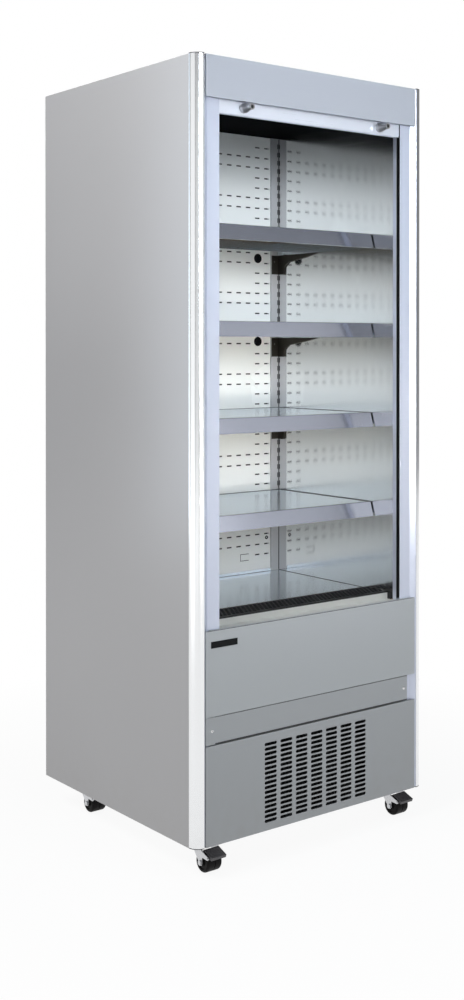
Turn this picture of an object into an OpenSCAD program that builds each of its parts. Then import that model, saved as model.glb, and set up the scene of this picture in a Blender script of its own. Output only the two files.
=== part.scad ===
// Upright refrigerated display case with an open front, four shelves, a roll-down night blind
// and a built-in condensing unit, standing on four castors.
// Millimetres, +Z up, front towards -Y. Inside from_front() y is the depth behind the front plane.

/* [Cabinet] */
// Width over the side panels
body_w = 750; // [700:5:900]
// Depth from the front plane to the back panel
body_d = 690; // [670:5:780]
// Height of the body without its castors
body_h = 1850; // [1800:5:1950]
// Height of the body's lower edge above the floor
ground_gap = 85; // [82:1:100]
// Thickness of the insulated side walls
wall_t = 75; // [66:0.5:84]
// Thickness of the insulated back wall with its two sheets
back_t = 62; // [50:1:72]
// Distance from the ceiling panel to the top of the roof
roof_t = 73; // [66:1:90]
// Thickness of the insulation under the cooling well
floor_t = 40; // [30:1:50]
// Thickness of the outer sheets
skin_t = 1; // [0.8:0.1:1.5]
// Thickness of the inner sheets
liner_t = 1; // [0.8:0.1:1.5]
// Distance left between a piece and what carries it
seat = 0.3; // [0.2:0.05:0.4]

/* [Front] */
// Outer radius of the corner profiles
corner_r = 26; // [20:1:28]
// Wall of the corner profiles
profile_t = 2; // [1.5:0.1:2.5]
// Length of the fin that the side panel laps
fin_l = 12; // [8:1:13]
// Thickness of the end caps on the corner profiles
cap_t = 2; // [1:0.5:4]
// Height of the canopy fascia
canopy_h = 98; // [90:1:120]
// Depth of the folded edges of the canopy fascia
canopy_fold = 11; // [8:0.5:11]
// Set-back of the posts' flat face behind the front plane
post_recess = 10; // [8:0.5:11]
// Sheet thickness of the posts
post_t = 1.5; // [1.2:0.1:2]
// Width of the sloping land between a post's flat face and the corner profile
land_w = 15; // [12:1:18]
// How far the posts stand into the opening past the side liners
post_lap = 2; // [1:0.5:3]
// Height of the ventilated panel
grille_h = 235; // [220:1:260]
// Height of the screwed cover strip
strip_h = 64; // [55:1:75]
// How much shorter the cover strip is at its right end
strip_short = 28; // [22:1:30]
// Height of the lower front panel
lower_panel_h = 202; // [190:1:220]
// Open gap between the ventilated panel and the cover strip
grille_gap = 3; // [2:0.5:5]
// Joint between the cover strip and the lower front panel
panel_gap = 1; // [0.5:0.5:3]
// Distance from a lower panel's edge to the corner profile
panel_side_gap = 4.5; // [3.5:0.5:6]
// Set-back of the lower panels behind the front plane
panel_set_back = 1.4; // [1.4:0.1:2]
// Width of the bare badge plate
badge_w = 77.5; // [60:0.5:90]
// Height of the bare badge plate
badge_h = 15.5; // [12:0.5:20]
// Distance from the badge plate to the panel's left edge
badge_inset = 16; // [10:1:30]
// Distance from the badge plate to the panel's top edge
badge_drop = 26; // [15:1:40]
// Shank radius of the cover strip's screws
screw_r = 2; // [1.5:0.25:2.5]
// Distance of the left screw from the strip's left end
left_screw_inset = 19; // [17:1:25]
// Distance of the right screw from the strip's right end
right_screw_inset = 12; // [9:1:14]

/* [Ventilation slots] */
// Number of slot columns in the ventilated panel
vent_columns = 7; // [3:1:9]
// Number of slot rows in the ventilated panel
vent_rows = 17; // [8:1:18]
// Distance between slot columns
vent_pitch_x = 49.4; // [44:0.2:54]
// Distance between slot rows
vent_pitch_z = 11.6; // [10.5:0.1:11.8]
// Length of a slot over its round ends
vent_l = 38; // [30:1:40]
// Height of a slot
vent_h = 7.75; // [5:0.25:8.5]
// Height of the lowest slot row above the panel's lower edge
vent_first = 23; // [16:1:26]

/* [Night blind] */
// Set-back of the bar's face behind the front plane
bar_set_back = 14; // [14:0.5:16]
// Height of the bar
bar_h = 45; // [40:1:52]
// Thickness of the bar
bar_t = 12; // [10:0.5:13]
// Part of the bar that shows below the canopy
bar_show = 32.5; // [26:1:36]
// Width of the guide channels
guide_w = 12; // [10:0.5:14]
// Wall of the guide channels
guide_wall = 2.6; // [2:0.1:3]
// Thickness of the bar's end tongues
tongue_t = 4.4; // [3.5:0.1:5]
// Distance of a pull knob from the middle
knob_x = 223.5; // [180:0.5:240]
// Height of the pull knobs above the bar's lower edge
knob_up = 18; // [12:0.5:20]
// Length of a pull knob
knob_l = 35; // [35:1:50]
// Radius of a pull knob's foot
knob_r = 11.6; // [9:0.2:12]
// Radius of the wound blind on its roller
roller_r = 22.5; // [18:0.5:24]
// Radius of the roller's end pins
roller_pin_r = 4; // [3:0.5:5]
// Thickness of the blind's cloth
fabric_t = 0.6; // [0.4:0.1:1]

/* [Interior] */
// Depth from the front plane to the perforated back panel
interior_d = 512; // [480:2:520]
// Height of the deck above the lower edge of the opening
deck_rise = 10; // [8:1:14]
// Height of the air duct above the ceiling panel
top_duct_h = 30; // [24:1:36]
// Depth of the cooling well below the deck
well_h = 158; // [150:1:164]
// Depth of the return air grille from the sill to the deck
return_d = 85; // [70:1:110]
// Set-back of the sill's riser behind the front plane
riser_set_back = 52; // [46:1:60]
// Size of a honeycomb cell across its flats
cell = 11; // [9:0.5:14]
// Web between two honeycomb cells
cell_web = 2; // [1.5:0.1:3]

/* [Shelves] */
// Pitch of the slots in the shelf uprights
slot_pitch = 24; // [22:0.5:25]
// Number of slot pitches from one shelf to the next
shelf_steps = 10; // [9:1:10]
// Height of the lowest shelf's top above the deck
shelf_first = 236; // [210:2:250]
// Distance from the front plane to the top edge of the price rails
shelf_set_back = 119; // [95:1:140]
// Height of a price rail
rail_h = 38; // [30:1:40]
// How far a price rail's lower edge stands forward of its upper edge
rail_lean = 11; // [8:1:18]
// Width of a shelf upright
upright_w = 29; // [26:1:34]
// Sheet thickness of the uprights and brackets
upright_t = 2; // [1.5:0.1:2.5]
// Number of slots in an upright below the lowest shelf's upper hook
slots_below = 3; // [1:1:8]
// Height of a bracket at the upright
bracket_h = 92; // [86:1:100]
// Height of a bracket along the shelf
arm_h = 37; // [28:0.5:40]

/* [Back panel] */
// Number of slot columns in the perforated back panel
perf_columns = 16; // [8:2:16]
// Distance between slot columns
perf_pitch_x = 34.1; // [30:0.1:34.5]
// Distance between slot rows
perf_pitch_z = 29.1; // [26:0.1:32]
// Length of a slot
perf_l = 17; // [12:0.5:20]
// Height of a slot
perf_h = 3.75; // [2.5:0.25:5]
// Radius of the round plugs
plug_r = 13.5; // [10:0.5:15]
// Distance of the plugs below the shelf above them
plug_drop = 47.5; // [45:0.5:52]

/* [Refrigeration] */
// Width of the evaporator coil
evaporator_w = 540; // [440:5:560]
// Radius of an evaporator fan's blades
evaporator_fan_r = 52; // [44:1:56]
// Distance of an evaporator fan from the middle
evaporator_fan_x = 140; // [110:2:170]
// Width of the condenser coil
condenser_w = 340; // [280:5:360]
// Height of the condenser coil
condenser_h = 215; // [190:5:230]
// Radius of the condenser fan's blades
condenser_fan_r = 92; // [70:1:96]
// Radius of the fan motors' shafts
shaft_r = 4; // [3:0.25:5]
// Radius of the compressor's shell
compressor_r = 78; // [60:1:85]
// Height of the compressor
compressor_h = 195; // [160:5:220]
// Radius of the refrigerant pipes
pipe_r = 5; // [4:0.25:6]
// Radius of the bore in the cord gland
gland_r = 4.5; // [3.5:0.25:6]

/* [Castors] */
// Distance of the left castors from the middle
castor_left_x = 288; // [250:1:320]
// Distance of the right castors from the middle
castor_right_x = 340; // [250:1:342]
// Distance of the front castors' kingpins behind the front plane
castor_front_d = 91; // [86:1:120]
// Distance of the rear castors' kingpins ahead of the back panel
castor_rear_inset = 85; // [75:1:120]
// Radius of a castor wheel
wheel_r = 25; // [22:0.5:26]
// Width of a castor wheel
wheel_w = 44; // [38:1:48]
// Distance from the kingpin to the axle
castor_trail = 27; // [24:0.5:30]
// Radius of the axle
axle_r = 4; // [3:0.25:5]
// Radius of the kingpin
kingpin_r = 6; // [5:0.5:7]
// Radius of the pin that carries the brake pedal
pedal_pin_r = 2.5; // [2:0.1:3]

/* [Hidden] */
$fn = 64;

// Running clearance of a shaft or pin in its bore
running = 0.05;

// Widths, from the middle outwards
x_out = body_w / 2;
x_skin = x_out - skin_t;
x_lip = x_out - corner_r;
x_in = x_out - wall_t;
x_post = x_in - post_lap;
x_land = x_lip - land_w;
x_panel = x_lip - panel_side_gap;
x_fold = x_land - 5;
x_upright = x_in - upright_w;

// Heights, from the floor up
z_base = ground_gap;
z_pan = z_base + skin_t;
pan_t = 2;
z_machine = z_pan + pan_t;
z_strip = z_base + grille_h + grille_gap;
z_panel = z_strip + strip_h + panel_gap;
z_open = z_panel + lower_panel_h;
z_ledge = z_open - 5;
z_deck = z_open + deck_rise;
z_return = z_deck - 2.5;
return_rise = 5;
riser_t = 1.2;
z_well = z_deck - well_h;
z_top = z_base + body_h;
z_roof = z_top - cap_t;
z_canopy = z_roof - canopy_h;
z_ceiling = z_roof - roof_t;
z_duct = z_ceiling + top_duct_h;

// Depths, from the front plane back
d_panel_back = panel_set_back + skin_t;
d_post_back = post_recess + post_t;
guide_d = 11.2;
d_guide = [d_post_back + seat, d_post_back + seat + guide_d];
d_pocket = d_guide[1] + seat;
jamb_l = 11.2;
d_jamb = d_pocket + post_t + jamb_l;
d_liner = d_jamb + 1;
d_upright = interior_d - 3;
d_rear = body_d - back_t;
d_back = body_d - skin_t;
d_fin = corner_r + fin_l;
d_canopy_box = 85;
d_ceiling = d_canopy_box + 46;
d_return = riser_set_back + return_d;
d_well = riser_set_back + riser_t + seat;
d_fold = [panel_set_back, post_recess - seat];

// The knobs reach past the front plane, and the origin is centred under the whole box.
knob_reach = knob_l - bar_set_back;
front_y = (knob_reach - body_d) / 2;

// Night blind
z_bar = z_canopy - bar_show;
z_knob = z_bar + knob_up;
d_fabric = bar_set_back + 7.6;
d_roller = d_fabric + fabric_t + seat + roller_r;
z_roller = z_bar + bar_h + 40;
x_bracket = x_post - 7;
bracket_t = 2.5;

// Shelves
shelf_gap = shelf_steps * slot_pitch;
shelf_t = 1.2;
shelf_set = shelf_set_back + 1.5 + seat;
hook_drop = 30;
slot_h = 14;
slot_w = 4.6;
slot_x = x_in - 1.1 - slot_w / 2;
slot_first = shelf_first - hook_drop - slots_below * slot_pitch;
slots = floor((z_ceiling - z_deck - slot_first - slot_h) / slot_pitch) + 1;

// Castors, measured from each kingpin
crown_h = 7;
crown_r = 24;
plate_t = 2.5;
plate_half = 28;
leg_t = 2.5;
leg_x = wheel_w / 2 + 1.2;
z_plate = z_pan - plate_t;
z_crown = z_plate - seat;
z_yoke = z_crown - crown_h;
yoke_t = 2.8;
pedal_pin_y = -castor_trail - wheel_r - 1;
pedal_pin_z = wheel_r + 17;
fork_y = [-castor_trail - 4, 14];

function shelf_z(level) = z_deck + shelf_first + (4 - level) * shelf_gap;

module from_front() {
    translate([0, front_y, 0]) children();
}

module both_sides() {
    children();
    mirror([1, 0, 0]) children();
}

// A block between two limits on each axis
module block(x, y, z) {
    translate([x[0], y[0], z[0]]) cube([x[1] - x[0], y[1] - y[0], z[1] - z[0]]);
}

// An outline in depth and Z, drawn along X
module along_x(x) {
    translate([x[0], 0, 0]) rotate([90, 0, 90]) linear_extrude(x[1] - x[0]) children();
}

// A round bar along X
module rod_x(x, y, z, r) {
    translate([x[0], y, z]) rotate([0, 90, 0]) cylinder(r = r, h = x[1] - x[0]);
}

// A round bar along Y
module rod_y(x, y, z, r) {
    translate([x, y[0], z]) rotate([-90, 0, 0]) cylinder(r = r, h = y[1] - y[0]);
}

// A rectangular cut through a sheet that stands between two depths
module window(x, z, w, h, d) {
    block([x - w / 2, x + w / 2], [d[0] - 1, d[1] + 1], [z - h / 2, z + h / 2]);
}

// A flat honeycomb grille of the given width and depth, with a plain rim
module honeycomb(x, y, z, rim) {
    step = cell + cell_web;
    row = step * sqrt(3) / 2;
    columns = floor((x[1] - x[0] - 2 * rim - cell - step / 2) / step);
    rows = floor((y[1] - y[0] - 2 * rim - cell) / row);
    mid = (y[0] + y[1]) / 2;
    difference() {
        block(x, y, z);
        for (j = [0:rows]) for (i = [0:columns]) {
            cell_x = (i - columns / 2 + (j % 2) / 2 - 0.25) * step;
            translate([cell_x, mid + (j - rows / 2) * row, z[0] - 1]) rotate([0, 0, 30])
                cylinder(d = cell * 2 / sqrt(3), h = z[1] - z[0] + 2, $fn = 6);
        }
    }
}

// Outer side sheet with its foot flange
module side_panel() {
    flange_w = x_skin - castor_right_x - plate_half - 1;
    color("#b9babd") from_front() {
        block([x_skin, x_out], [corner_r + seat, body_d], [z_base, z_roof]);
        block([x_skin - flange_w, x_skin], [d_fin + 2, d_back], [z_base, z_pan]);
    }
}

module side_panel_left() {
    mirror([1, 0, 0]) side_panel();
}

module side_panel_right() {
    side_panel();
}

// Holes for the two refrigerant pipes through the floor of the well
module pipe_holes(z) {
    for (x = [suction_x, liquid_x])
        translate([x, pipe_d, z[0]]) cylinder(r = pipe_r + 1, h = z[1] - z[0]);
}

// Foam between the outer and inner sheets: two sides, back, roof, floor and sill
module insulation() {
    foam_z = [z_well - liner_t - floor_t, z_roof - skin_t];
    d_foam = d_liner + 1;
    color("#e8dcb0") from_front() difference() {
        union() {
            both_sides()
                block([x_in + liner_t, x_skin], [d_foam, d_back], foam_z);
            block([-x_skin, x_skin], [d_rear, d_back], foam_z);
            block(
                [-x_skin, x_skin], [d_canopy_box + liner_t, d_back],
                [z_duct + liner_t, foam_z[1]]
            );
            block([-x_skin, x_skin], [d_foam, d_back], [foam_z[0], z_well - liner_t]);
            block(
                [-x_post + 1, x_post - 1], [post_recess + 2, d_well],
                [foam_z[0], z_ledge - 1.2 - seat]
            );
        }
        pipe_holes([foam_z[0] - 1, z_well]);
    }
}

// Mirror-bright sheets on the two sides of the interior
module side_liners() {
    color("#cfd3d8") from_front() both_sides()
        block([x_in, x_in + liner_t], [d_liner, d_rear], [z_well - liner_t, z_duct + liner_t]);
}

// Hollow quarter-round extrusion at each front corner, with a fin behind the side sheet
module corner_profiles() {
    bore_r = corner_r - profile_t;
    color("#dfe3e6") from_front() both_sides()
        translate([0, 0, z_base + cap_t]) linear_extrude(z_roof - z_base - cap_t) {
            translate([x_lip, corner_r]) difference() {
                intersection() {
                    circle(corner_r);
                    translate([0, -corner_r]) square(corner_r);
                }
                intersection() {
                    circle(bore_r);
                    translate([profile_t, -corner_r]) square([corner_r, corner_r - profile_t]);
                }
            }
            translate([x_skin - seat - profile_t, corner_r - 1]) square([profile_t, fin_l + 1]);
        }
}

// Dark moulded end caps on the corner profiles, above and below
module profile_caps() {
    color("#3a3c40") from_front() both_sides()
        for (z = [z_base, z_roof])
            translate([x_lip, corner_r, z]) linear_extrude(cap_t) intersection() {
                circle(corner_r);
                translate([0, -corner_r]) square(corner_r);
            }
}

module roof_panel() {
    sheet_z = [z_roof - skin_t, z_roof];
    color("#b9babd") from_front() {
        block([-x_skin, x_skin], [d_fin + 1, d_back], sheet_z);
        block([-x_lip + seat, x_lip - seat], [canopy_fold + seat, d_fin + 2], sheet_z);
    }
}

// Canopy fascia: one sheet folded back at the top and twice at the bottom
module canopy_fascia() {
    x = [-x_panel, x_panel];
    x_hem = [-x_fold, x_fold];
    hem_d = post_recess - seat;
    color("#babdc5") from_front() {
        block(x, [0, skin_t], [z_canopy, z_roof]);
        block(x, [0, canopy_fold], [z_roof - skin_t, z_roof]);
        block(x_hem, [0, hem_d], [z_canopy, z_canopy + skin_t]);
        block(x_hem, [hem_d - skin_t, hem_d], [z_canopy, z_canopy + 10]);
    }
}

// Section of a post: sloping land, flat face, pocket for the guide channel and jamb
module post_section() {
    pocket_x = x_post + guide_w + seat;
    polygon([
        [x_lip - seat, 1], [x_land, post_recess], [x_post, post_recess], [x_post, d_post_back],
        [x_land + 0.4, d_post_back], [x_lip - seat, 1 + post_t * 1.2]
    ]);
    translate([pocket_x, post_recess]) square([post_t, d_pocket + post_t - post_recess]);
    translate([x_post, d_pocket]) square([pocket_x - x_post + post_t, post_t]);
    translate([x_post, d_pocket]) square([post_t, d_jamb - d_pocket]);
}

left_screw_x = -x_panel + left_screw_inset;
right_screw_x = x_panel - strip_short - right_screw_inset;
screw_z = z_strip + strip_h / 2;

// Posts from the base pan up to the roof, drilled for the cover strip's screws
module front_posts() {
    color("#ccd2e2") from_front() difference() {
        both_sides()
            translate([0, 0, z_machine])
                linear_extrude(z_roof - skin_t - seat - z_machine) post_section();
        for (x = [left_screw_x, right_screw_x])
            rod_y(x, [post_recess - 1, d_post_back + 1], screw_z, screw_r);
    }
}

// Black guide channels for the ends of the blind's bar
module blind_guides() {
    color("#1c1d1f") from_front() both_sides() difference() {
        block([x_post, x_post + guide_w], d_guide, [z_open + seat, z_bar + bar_h + 8]);
        block(
            [x_post - 1, x_post + guide_w - guide_wall],
            [d_guide[0] + guide_wall, d_guide[1] - guide_wall], [z_open, z_bar + bar_h + 9]
        );
    }
}

// Spring roller with the blind wound on it
module blind_roller() {
    color("#d8dade") from_front() {
        rod_x([-x_bracket + 5, x_bracket - 5], d_roller, z_roller, roller_r);
        rod_x([-x_bracket + 1, x_bracket - 1], d_roller, z_roller, roller_r * 0.6);
        rod_x(
            [-x_bracket - bracket_t - 1, x_bracket + bracket_t + 1],
            d_roller, z_roller, roller_pin_r
        );
    }
}

// Angle brackets that carry the roller's pins
module roller_brackets() {
    arm = 16;
    color("#8d9196") from_front() both_sides() difference() {
        union() {
            block(
                [x_bracket, x_bracket + bracket_t], [d_roller - arm, d_canopy_box],
                [z_roller - arm, z_roller + arm]
            );
            block(
                [x_bracket - 14, x_bracket + bracket_t], [d_canopy_box - bracket_t, d_canopy_box],
                [z_roller - arm, z_roller + arm]
            );
        }
        rod_x([x_bracket - 1, x_bracket + bracket_t + 1], d_roller, z_roller,
            roller_pin_r + running);
    }
}

// The stretch of cloth between the roller and the bar
module blind_fabric() {
    color("#eceef2") from_front()
        block(
            [-x_bracket + 7, x_bracket - 7], [d_fabric, d_fabric + fabric_t],
            [z_bar + bar_h + seat, z_roller]
        );
}

module blind_bar() {
    tongue_z = [z_bar + 5, z_bar + bar_h - 5];
    mid = (d_guide[0] + d_guide[1]) / 2;
    grip = 3;
    tongue_x = x_post + guide_w - guide_wall - 1.4;
    color("#e1e6f0") from_front() difference() {
        union() {
            block(
                [-x_post + 1.5, x_post - 1.5], [bar_set_back, bar_set_back + bar_t],
                [z_bar, z_bar + bar_h]
            );
            block([-tongue_x, tongue_x], [mid - tongue_t / 2, mid + tongue_t / 2], tongue_z);
        }
        block(
            [-x_post, x_post], [bar_set_back + grip, bar_set_back + bar_t - grip],
            [z_bar - 1, z_bar + 2]
        );
    }
}

// Two pull knobs on the bar: a thick foot, a cone and a slim end with a bored face
module blind_knobs() {
    tip_r = knob_r * 0.64;
    core_r = tip_r * 0.66;
    foot_l = knob_l * 0.28;
    cone_l = knob_l * 0.74;
    core_l = knob_l * 0.2;
    color("#aeb2b8") from_front() both_sides()
        translate([knob_x, bar_set_back, z_knob]) rotate([90, 0, 0]) rotate_extrude()
            polygon([
                [0, 0], [knob_r, 0], [knob_r, foot_l], [tip_r, cone_l],
                [tip_r, knob_l], [core_r, knob_l], [core_r, knob_l - core_l],
                [0, knob_l - core_l]
            ]);
}

gland_x = -x_skin + 114;
gland_z = z_machine + 210;
gland_wall = 3.5;

// Outer back sheet with two fields of louvre slots for the condensing unit
module back_panel() {
    louvres = 8;
    louvre_pitch = 20;
    louvre_x = 110;
    louvre_z = z_machine + 60;
    d = [d_back, body_d];
    color("#a9abae") from_front() difference() {
        block([-x_skin, x_skin], d, [z_pan, z_roof]);
        for (x = [-louvre_x, louvre_x]) for (i = [0:louvres - 1])
            window(x, louvre_z + louvre_pitch * i, 120, 6, d);
        rod_y(gland_x, [d_back - 1, body_d + 1], gland_z, gland_r + gland_wall + seat);
    }
}

// Inner sheet that forms the well's front and floor, the rear wall and the top of the duct
module inner_tub() {
    t = liner_t;
    x = [-x_in, x_in];
    color("#aeb2b6") from_front() difference() {
        union() {
            block(x, [d_well, d_well + t], [z_well - t, z_return - seat]);
            block(x, [d_well, d_rear], [z_well - t, z_well]);
            block(x, [d_rear - t, d_rear], [z_well - t, z_duct + t]);
            block(x, [d_canopy_box, d_rear], [z_duct, z_duct + t]);
            block(x, [d_canopy_box, d_canopy_box + t], [z_ceiling - 4, z_roof - skin_t]);
        }
        pipe_holes([z_well - t - 1, z_well + 1]);
    }
}

perf_x0 = -(perf_columns - 1) / 2 * perf_pitch_x;
outer_columns = 2;
perf_low = 51;
low_rows = floor((shelf_z(1) + 20 - z_deck - perf_low) / perf_pitch_z);
perf_high = shelf_z(1) - z_deck + 68.5;
high_rows = floor((z_ceiling - z_deck - perf_high - perf_h) / perf_pitch_z);
plug_z = [shelf_z(1) - plug_drop, shelf_z(2) - plug_drop];
plug_x = -perf_x0 - perf_pitch_x + 1.5;

// Slot centres of one row: all columns in two rows of four, the outer ones in the other two
function perf_row(z, full) = [
    for (i = [0:perf_columns - 1])
        let (x = perf_x0 + i * perf_pitch_x)
        if (full || i < outer_columns || i >= perf_columns - outer_columns)
            if (min([for (p = plug_z) norm([abs(x) - plug_x, z - p])]) > plug_r + perf_l / 2)
                [x, z]
];

function perf_field(first, rows) = [
    for (i = [0:rows])
        for (slot = perf_row(z_deck + first + i * perf_pitch_z, (i % 4) % 3 != 0)) slot
];

// Perforated panel in front of the rear air duct
module duct_panel() {
    x = x_upright - seat;
    d = [interior_d, interior_d + liner_t];
    centres = concat(perf_field(perf_low, low_rows), perf_field(perf_high, high_rows));
    color("#c3c8c8") from_front() difference() {
        block([-x, x], d, [z_deck + seat, z_ceiling - seat]);
        for (p = centres)
            window(p[0], p[1], perf_l, perf_h, d);
    }
}

// Round black plugs pressed on the back panel under the upper two shelves
module duct_plugs() {
    color("#101112") from_front() both_sides() for (z = plug_z)
        translate([plug_x, interior_d, z]) rotate([90, 0, 0]) rotate_extrude()
            polygon([[0, 0], [plug_r, 0], [plug_r, 1.5], [plug_r - 1.5, 3], [0, 3]]);
}

// Slotted uprights in the rear corners, each a channel with its web to the front
module shelf_uprights() {
    z = [z_deck + seat, z_ceiling - seat];
    d = [d_upright, d_upright + upright_t];
    color("#a7aab0") from_front() both_sides() {
        difference() {
            block([x_upright, x_in - 0.1], d, z);
            for (i = [0:slots - 1])
                window(slot_x, z_deck + slot_first + i * slot_pitch, slot_w, slot_h, d);
        }
        block([x_upright, x_upright + upright_t], [d_upright, d_upright + 18], z);
    }
}

// Shelf pan with flanges turned down on four sides
module shelf(level) {
    z = shelf_z(level);
    x = x_in - 3;
    x_flange = x_in - 7;
    d = [shelf_set, d_upright - 4];
    color("#b4b9c2") from_front() {
        block([-x, x], d, [z - shelf_t, z]);
        block([-x_flange, x_flange], [d[0], d[0] + shelf_t], [z - rail_h + 7, z]);
        block([-x_flange, x_flange], [d[1] - shelf_t, d[1]], [z - 25, z]);
        both_sides()
            block([x_flange - shelf_t, x_flange], d, [z - arm_h, z]);
    }
}

module shelf_1() {
    shelf(1);
}

module shelf_2() {
    shelf(2);
}

module shelf_3() {
    shelf(3);
}

module shelf_4() {
    shelf(4);
}

// Leaning price rails on the shelves' front flanges, folded back along their lower edges
module price_rails() {
    t = 1.5;
    x = x_in - 3.5;
    d = shelf_set_back;
    fold_d = d - rail_lean * (rail_h - t) / rail_h + t;
    color("#9a9eaa") from_front() for (level = [1:4])
        translate([0, 0, shelf_z(level)]) along_x([-x, x])
            polygon([
                [d, 0], [d - rail_lean, -rail_h], [d - 1, -rail_h], [d - 1, t - rail_h],
                [fold_d, t - rail_h], [d + t, 0]
            ]);
}

// A pair of brackets under each shelf, each an arm with a web, hooked into the upright's slots
module shelf_brackets() {
    arm_x = [slot_x - 1.25, slot_x + 1.25];
    d = d_upright - seat;
    top = -shelf_t - seat;
    clip_x = x_upright + 1.5;
    hole_r = 1.8;
    hole_z = -55;
    color("#85857e") from_front() both_sides() for (level = [1:4])
        translate([0, 0, shelf_z(level)]) {
            difference() {
                union() {
                    along_x(arm_x)
                        polygon([
                            [shelf_set + shelf_t + 2, top], [d, top], [d, -bracket_h],
                            [d - 22, -bracket_h], [d - 27, -bracket_h + 6],
                            [d - 30, -bracket_h + 20], [d - 36, -66], [d - 48, -58],
                            [d - 72, -54.5], [d - 119, -48], [d - 180, -arm_h],
                            [shelf_set + shelf_t + 2, -arm_h]
                        ]);
                    block([clip_x, arm_x[1]], [d - upright_t, d], [-bracket_h, -arm_h]);
                }
                rod_y(clip_x + 10, [d - upright_t - 1, d + 1], hole_z, hole_r);
                rod_x([arm_x[0] - 1, arm_x[1] + 1], d - 10, hole_z, hole_r);
            }
            for (i = [0, 1])
                translate([0, 0, -hook_drop - i * slot_pitch]) along_x(arm_x)
                    polygon([
                        [d - 1, -4], [d + upright_t + 1, -4], [d + upright_t + 1, -9],
                        [d + upright_t + 5, -9], [d + upright_t + 5, 4], [d - 1, 4]
                    ]);
        }
}

// Black ceiling panel under the air duct, stiffened by a fold at its front edge
module ceiling_panel() {
    x = x_in - seat;
    color("#1b1d1e") from_front() {
        block([-x, x], [d_ceiling, interior_d + liner_t], [z_ceiling, z_ceiling + liner_t]);
        block([-x, x], [d_ceiling, d_ceiling + liner_t], [z_ceiling, z_ceiling + 12]);
    }
}

// Honeycomb that lets the air curtain down behind the canopy
module discharge_grille() {
    color("#141516") from_front()
        honeycomb(
            [-x_in + seat, x_in - seat],
            [d_canopy_box + liner_t + seat, d_ceiling - seat],
            [z_ceiling - 3, z_ceiling + 9], 3
        );
}

// Steel deck over the cooling well, with a low upstand at the rear and a front flange
module deck_panel() {
    x = x_in - seat;
    d = [d_return + seat, d_upright - 1];
    color("#b4bcc6") from_front() {
        block([-x, x], d, [z_deck - 2, z_deck]);
        block([-x, x], [d[0], d[0] + 2], [z_deck - 16, z_deck]);
        block([-x_upright + 2, x_upright - 2], [d[1], d[1] + shelf_t], [z_deck - 2, z_deck + 8]);
    }
}

// Black honeycomb over the air return, with a block at each front corner
module return_grille() {
    x = x_in - seat;
    z = [z_return, z_deck + return_rise];
    color("#141516") from_front() {
        honeycomb([-x, x], [d_well, d_return], z, 4);
        both_sides() {
            block([x - 5, x], [riser_set_back - 12, d_well - seat], [z_ledge, z[1]]);
            block([x - 5, x], [riser_set_back, d_well + 0.5], z);
        }
    }
}

// Sill: a ledge behind the lower front panel and a riser up to the return grille
module sill_trim() {
    t = riser_t;
    x = x_in - 6;
    color("#b5b3ab") from_front() {
        block(
            [-x, x], [riser_set_back, riser_set_back + t],
            [z_ledge - t, z_deck + return_rise - 4]
        );
        block([-x, x], [post_recess + seat, riser_set_back + t], [z_ledge - t, z_ledge]);
    }
}

// Lower front panel with its top and bottom edges folded back
module lower_front_panel() {
    color("#9ea2a5") from_front() {
        block([-x_panel, x_panel], [panel_set_back, d_panel_back], [z_panel, z_open]);
        for (z = [z_panel, z_open - skin_t])
            block([-x_fold, x_fold], d_fold, [z, z + skin_t]);
    }
}

// Bare plate on the lower front panel
module badge_plate() {
    x0 = -x_panel + badge_inset;
    z1 = z_open - badge_drop;
    color("#16191c") from_front()
        block([x0, x0 + badge_w], [panel_set_back - 1.1, panel_set_back], [z1 - badge_h, z1]);
}

// Cover strip over the joint above the condensing unit
module cover_strip() {
    x = [-x_panel, x_panel - strip_short];
    color("#9b9ea2") from_front() difference() {
        union() {
            block(x, [panel_set_back, d_panel_back], [z_strip, z_strip + strip_h]);
            for (z = [z_strip, z_strip + strip_h - skin_t])
                block([-x_fold, x[1]], d_fold, [z, z + skin_t]);
        }
        for (sx = [left_screw_x, right_screw_x])
            rod_y(sx, [panel_set_back - 1, d_panel_back + 1], screw_z, screw_r + running);
    }
}

// Two pan-head screws that hold the cover strip to the posts
module cover_screws() {
    color("#c9ccd0") from_front() for (x = [left_screw_x, right_screw_x])
        translate([x, panel_set_back, screw_z]) rotate([90, 0, 0]) rotate_extrude()
            polygon([
                [0, -post_recess - 2], [screw_r, -post_recess - 2], [screw_r, 0],
                [screw_r * 1.9, 0], [screw_r * 1.7, 0.8], [screw_r, 1.2], [0, 1.2]
            ]);
}

// Ventilated panel in front of the condenser
module grille_panel() {
    r = vent_h / 2;
    d = [panel_set_back - 1, d_panel_back + 1];
    color("#8e9294") from_front() difference() {
        union() {
            block([-x_panel, x_panel], [panel_set_back, d_panel_back], [z_base, z_base + grille_h]);
            for (z = [z_machine + seat, z_base + grille_h - skin_t])
                block([-x_fold, x_fold], d_fold, [z, z + skin_t]);
        }
        for (i = [0:vent_columns - 1]) for (j = [0:vent_rows - 1]) {
            x = (i - (vent_columns - 1) / 2) * vent_pitch_x;
            z = z_base + vent_first + j * vent_pitch_z;
            block([x - vent_l / 2 + r, x + vent_l / 2 - r], d, [z - r, z + r]);
            for (s = [-1, 1])
                rod_y(x + s * (vent_l / 2 - r), d, z, r);
        }
    }
}

// Floor of the machine compartment, a tray that carries the posts, the unit and the castors
module base_pan() {
    x = x_skin - seat;
    z = [z_pan, z_machine];
    d1 = d_back - seat;
    color("#a3a6aa") from_front() {
        block([-x_lip + seat, x_lip - seat], [panel_set_back + 1 + skin_t, d_fin + 3], z);
        block([-x, x], [d_fin + 2, d1], z);
        both_sides()
            block([x - 2, x], [d_fin + 4, d1], [z_pan, z_machine + 25]);
    }
}

well_inner = z_deck - 2 - z_well;
coil_d = [270, 450];
fan_plate_d = 190;

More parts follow.
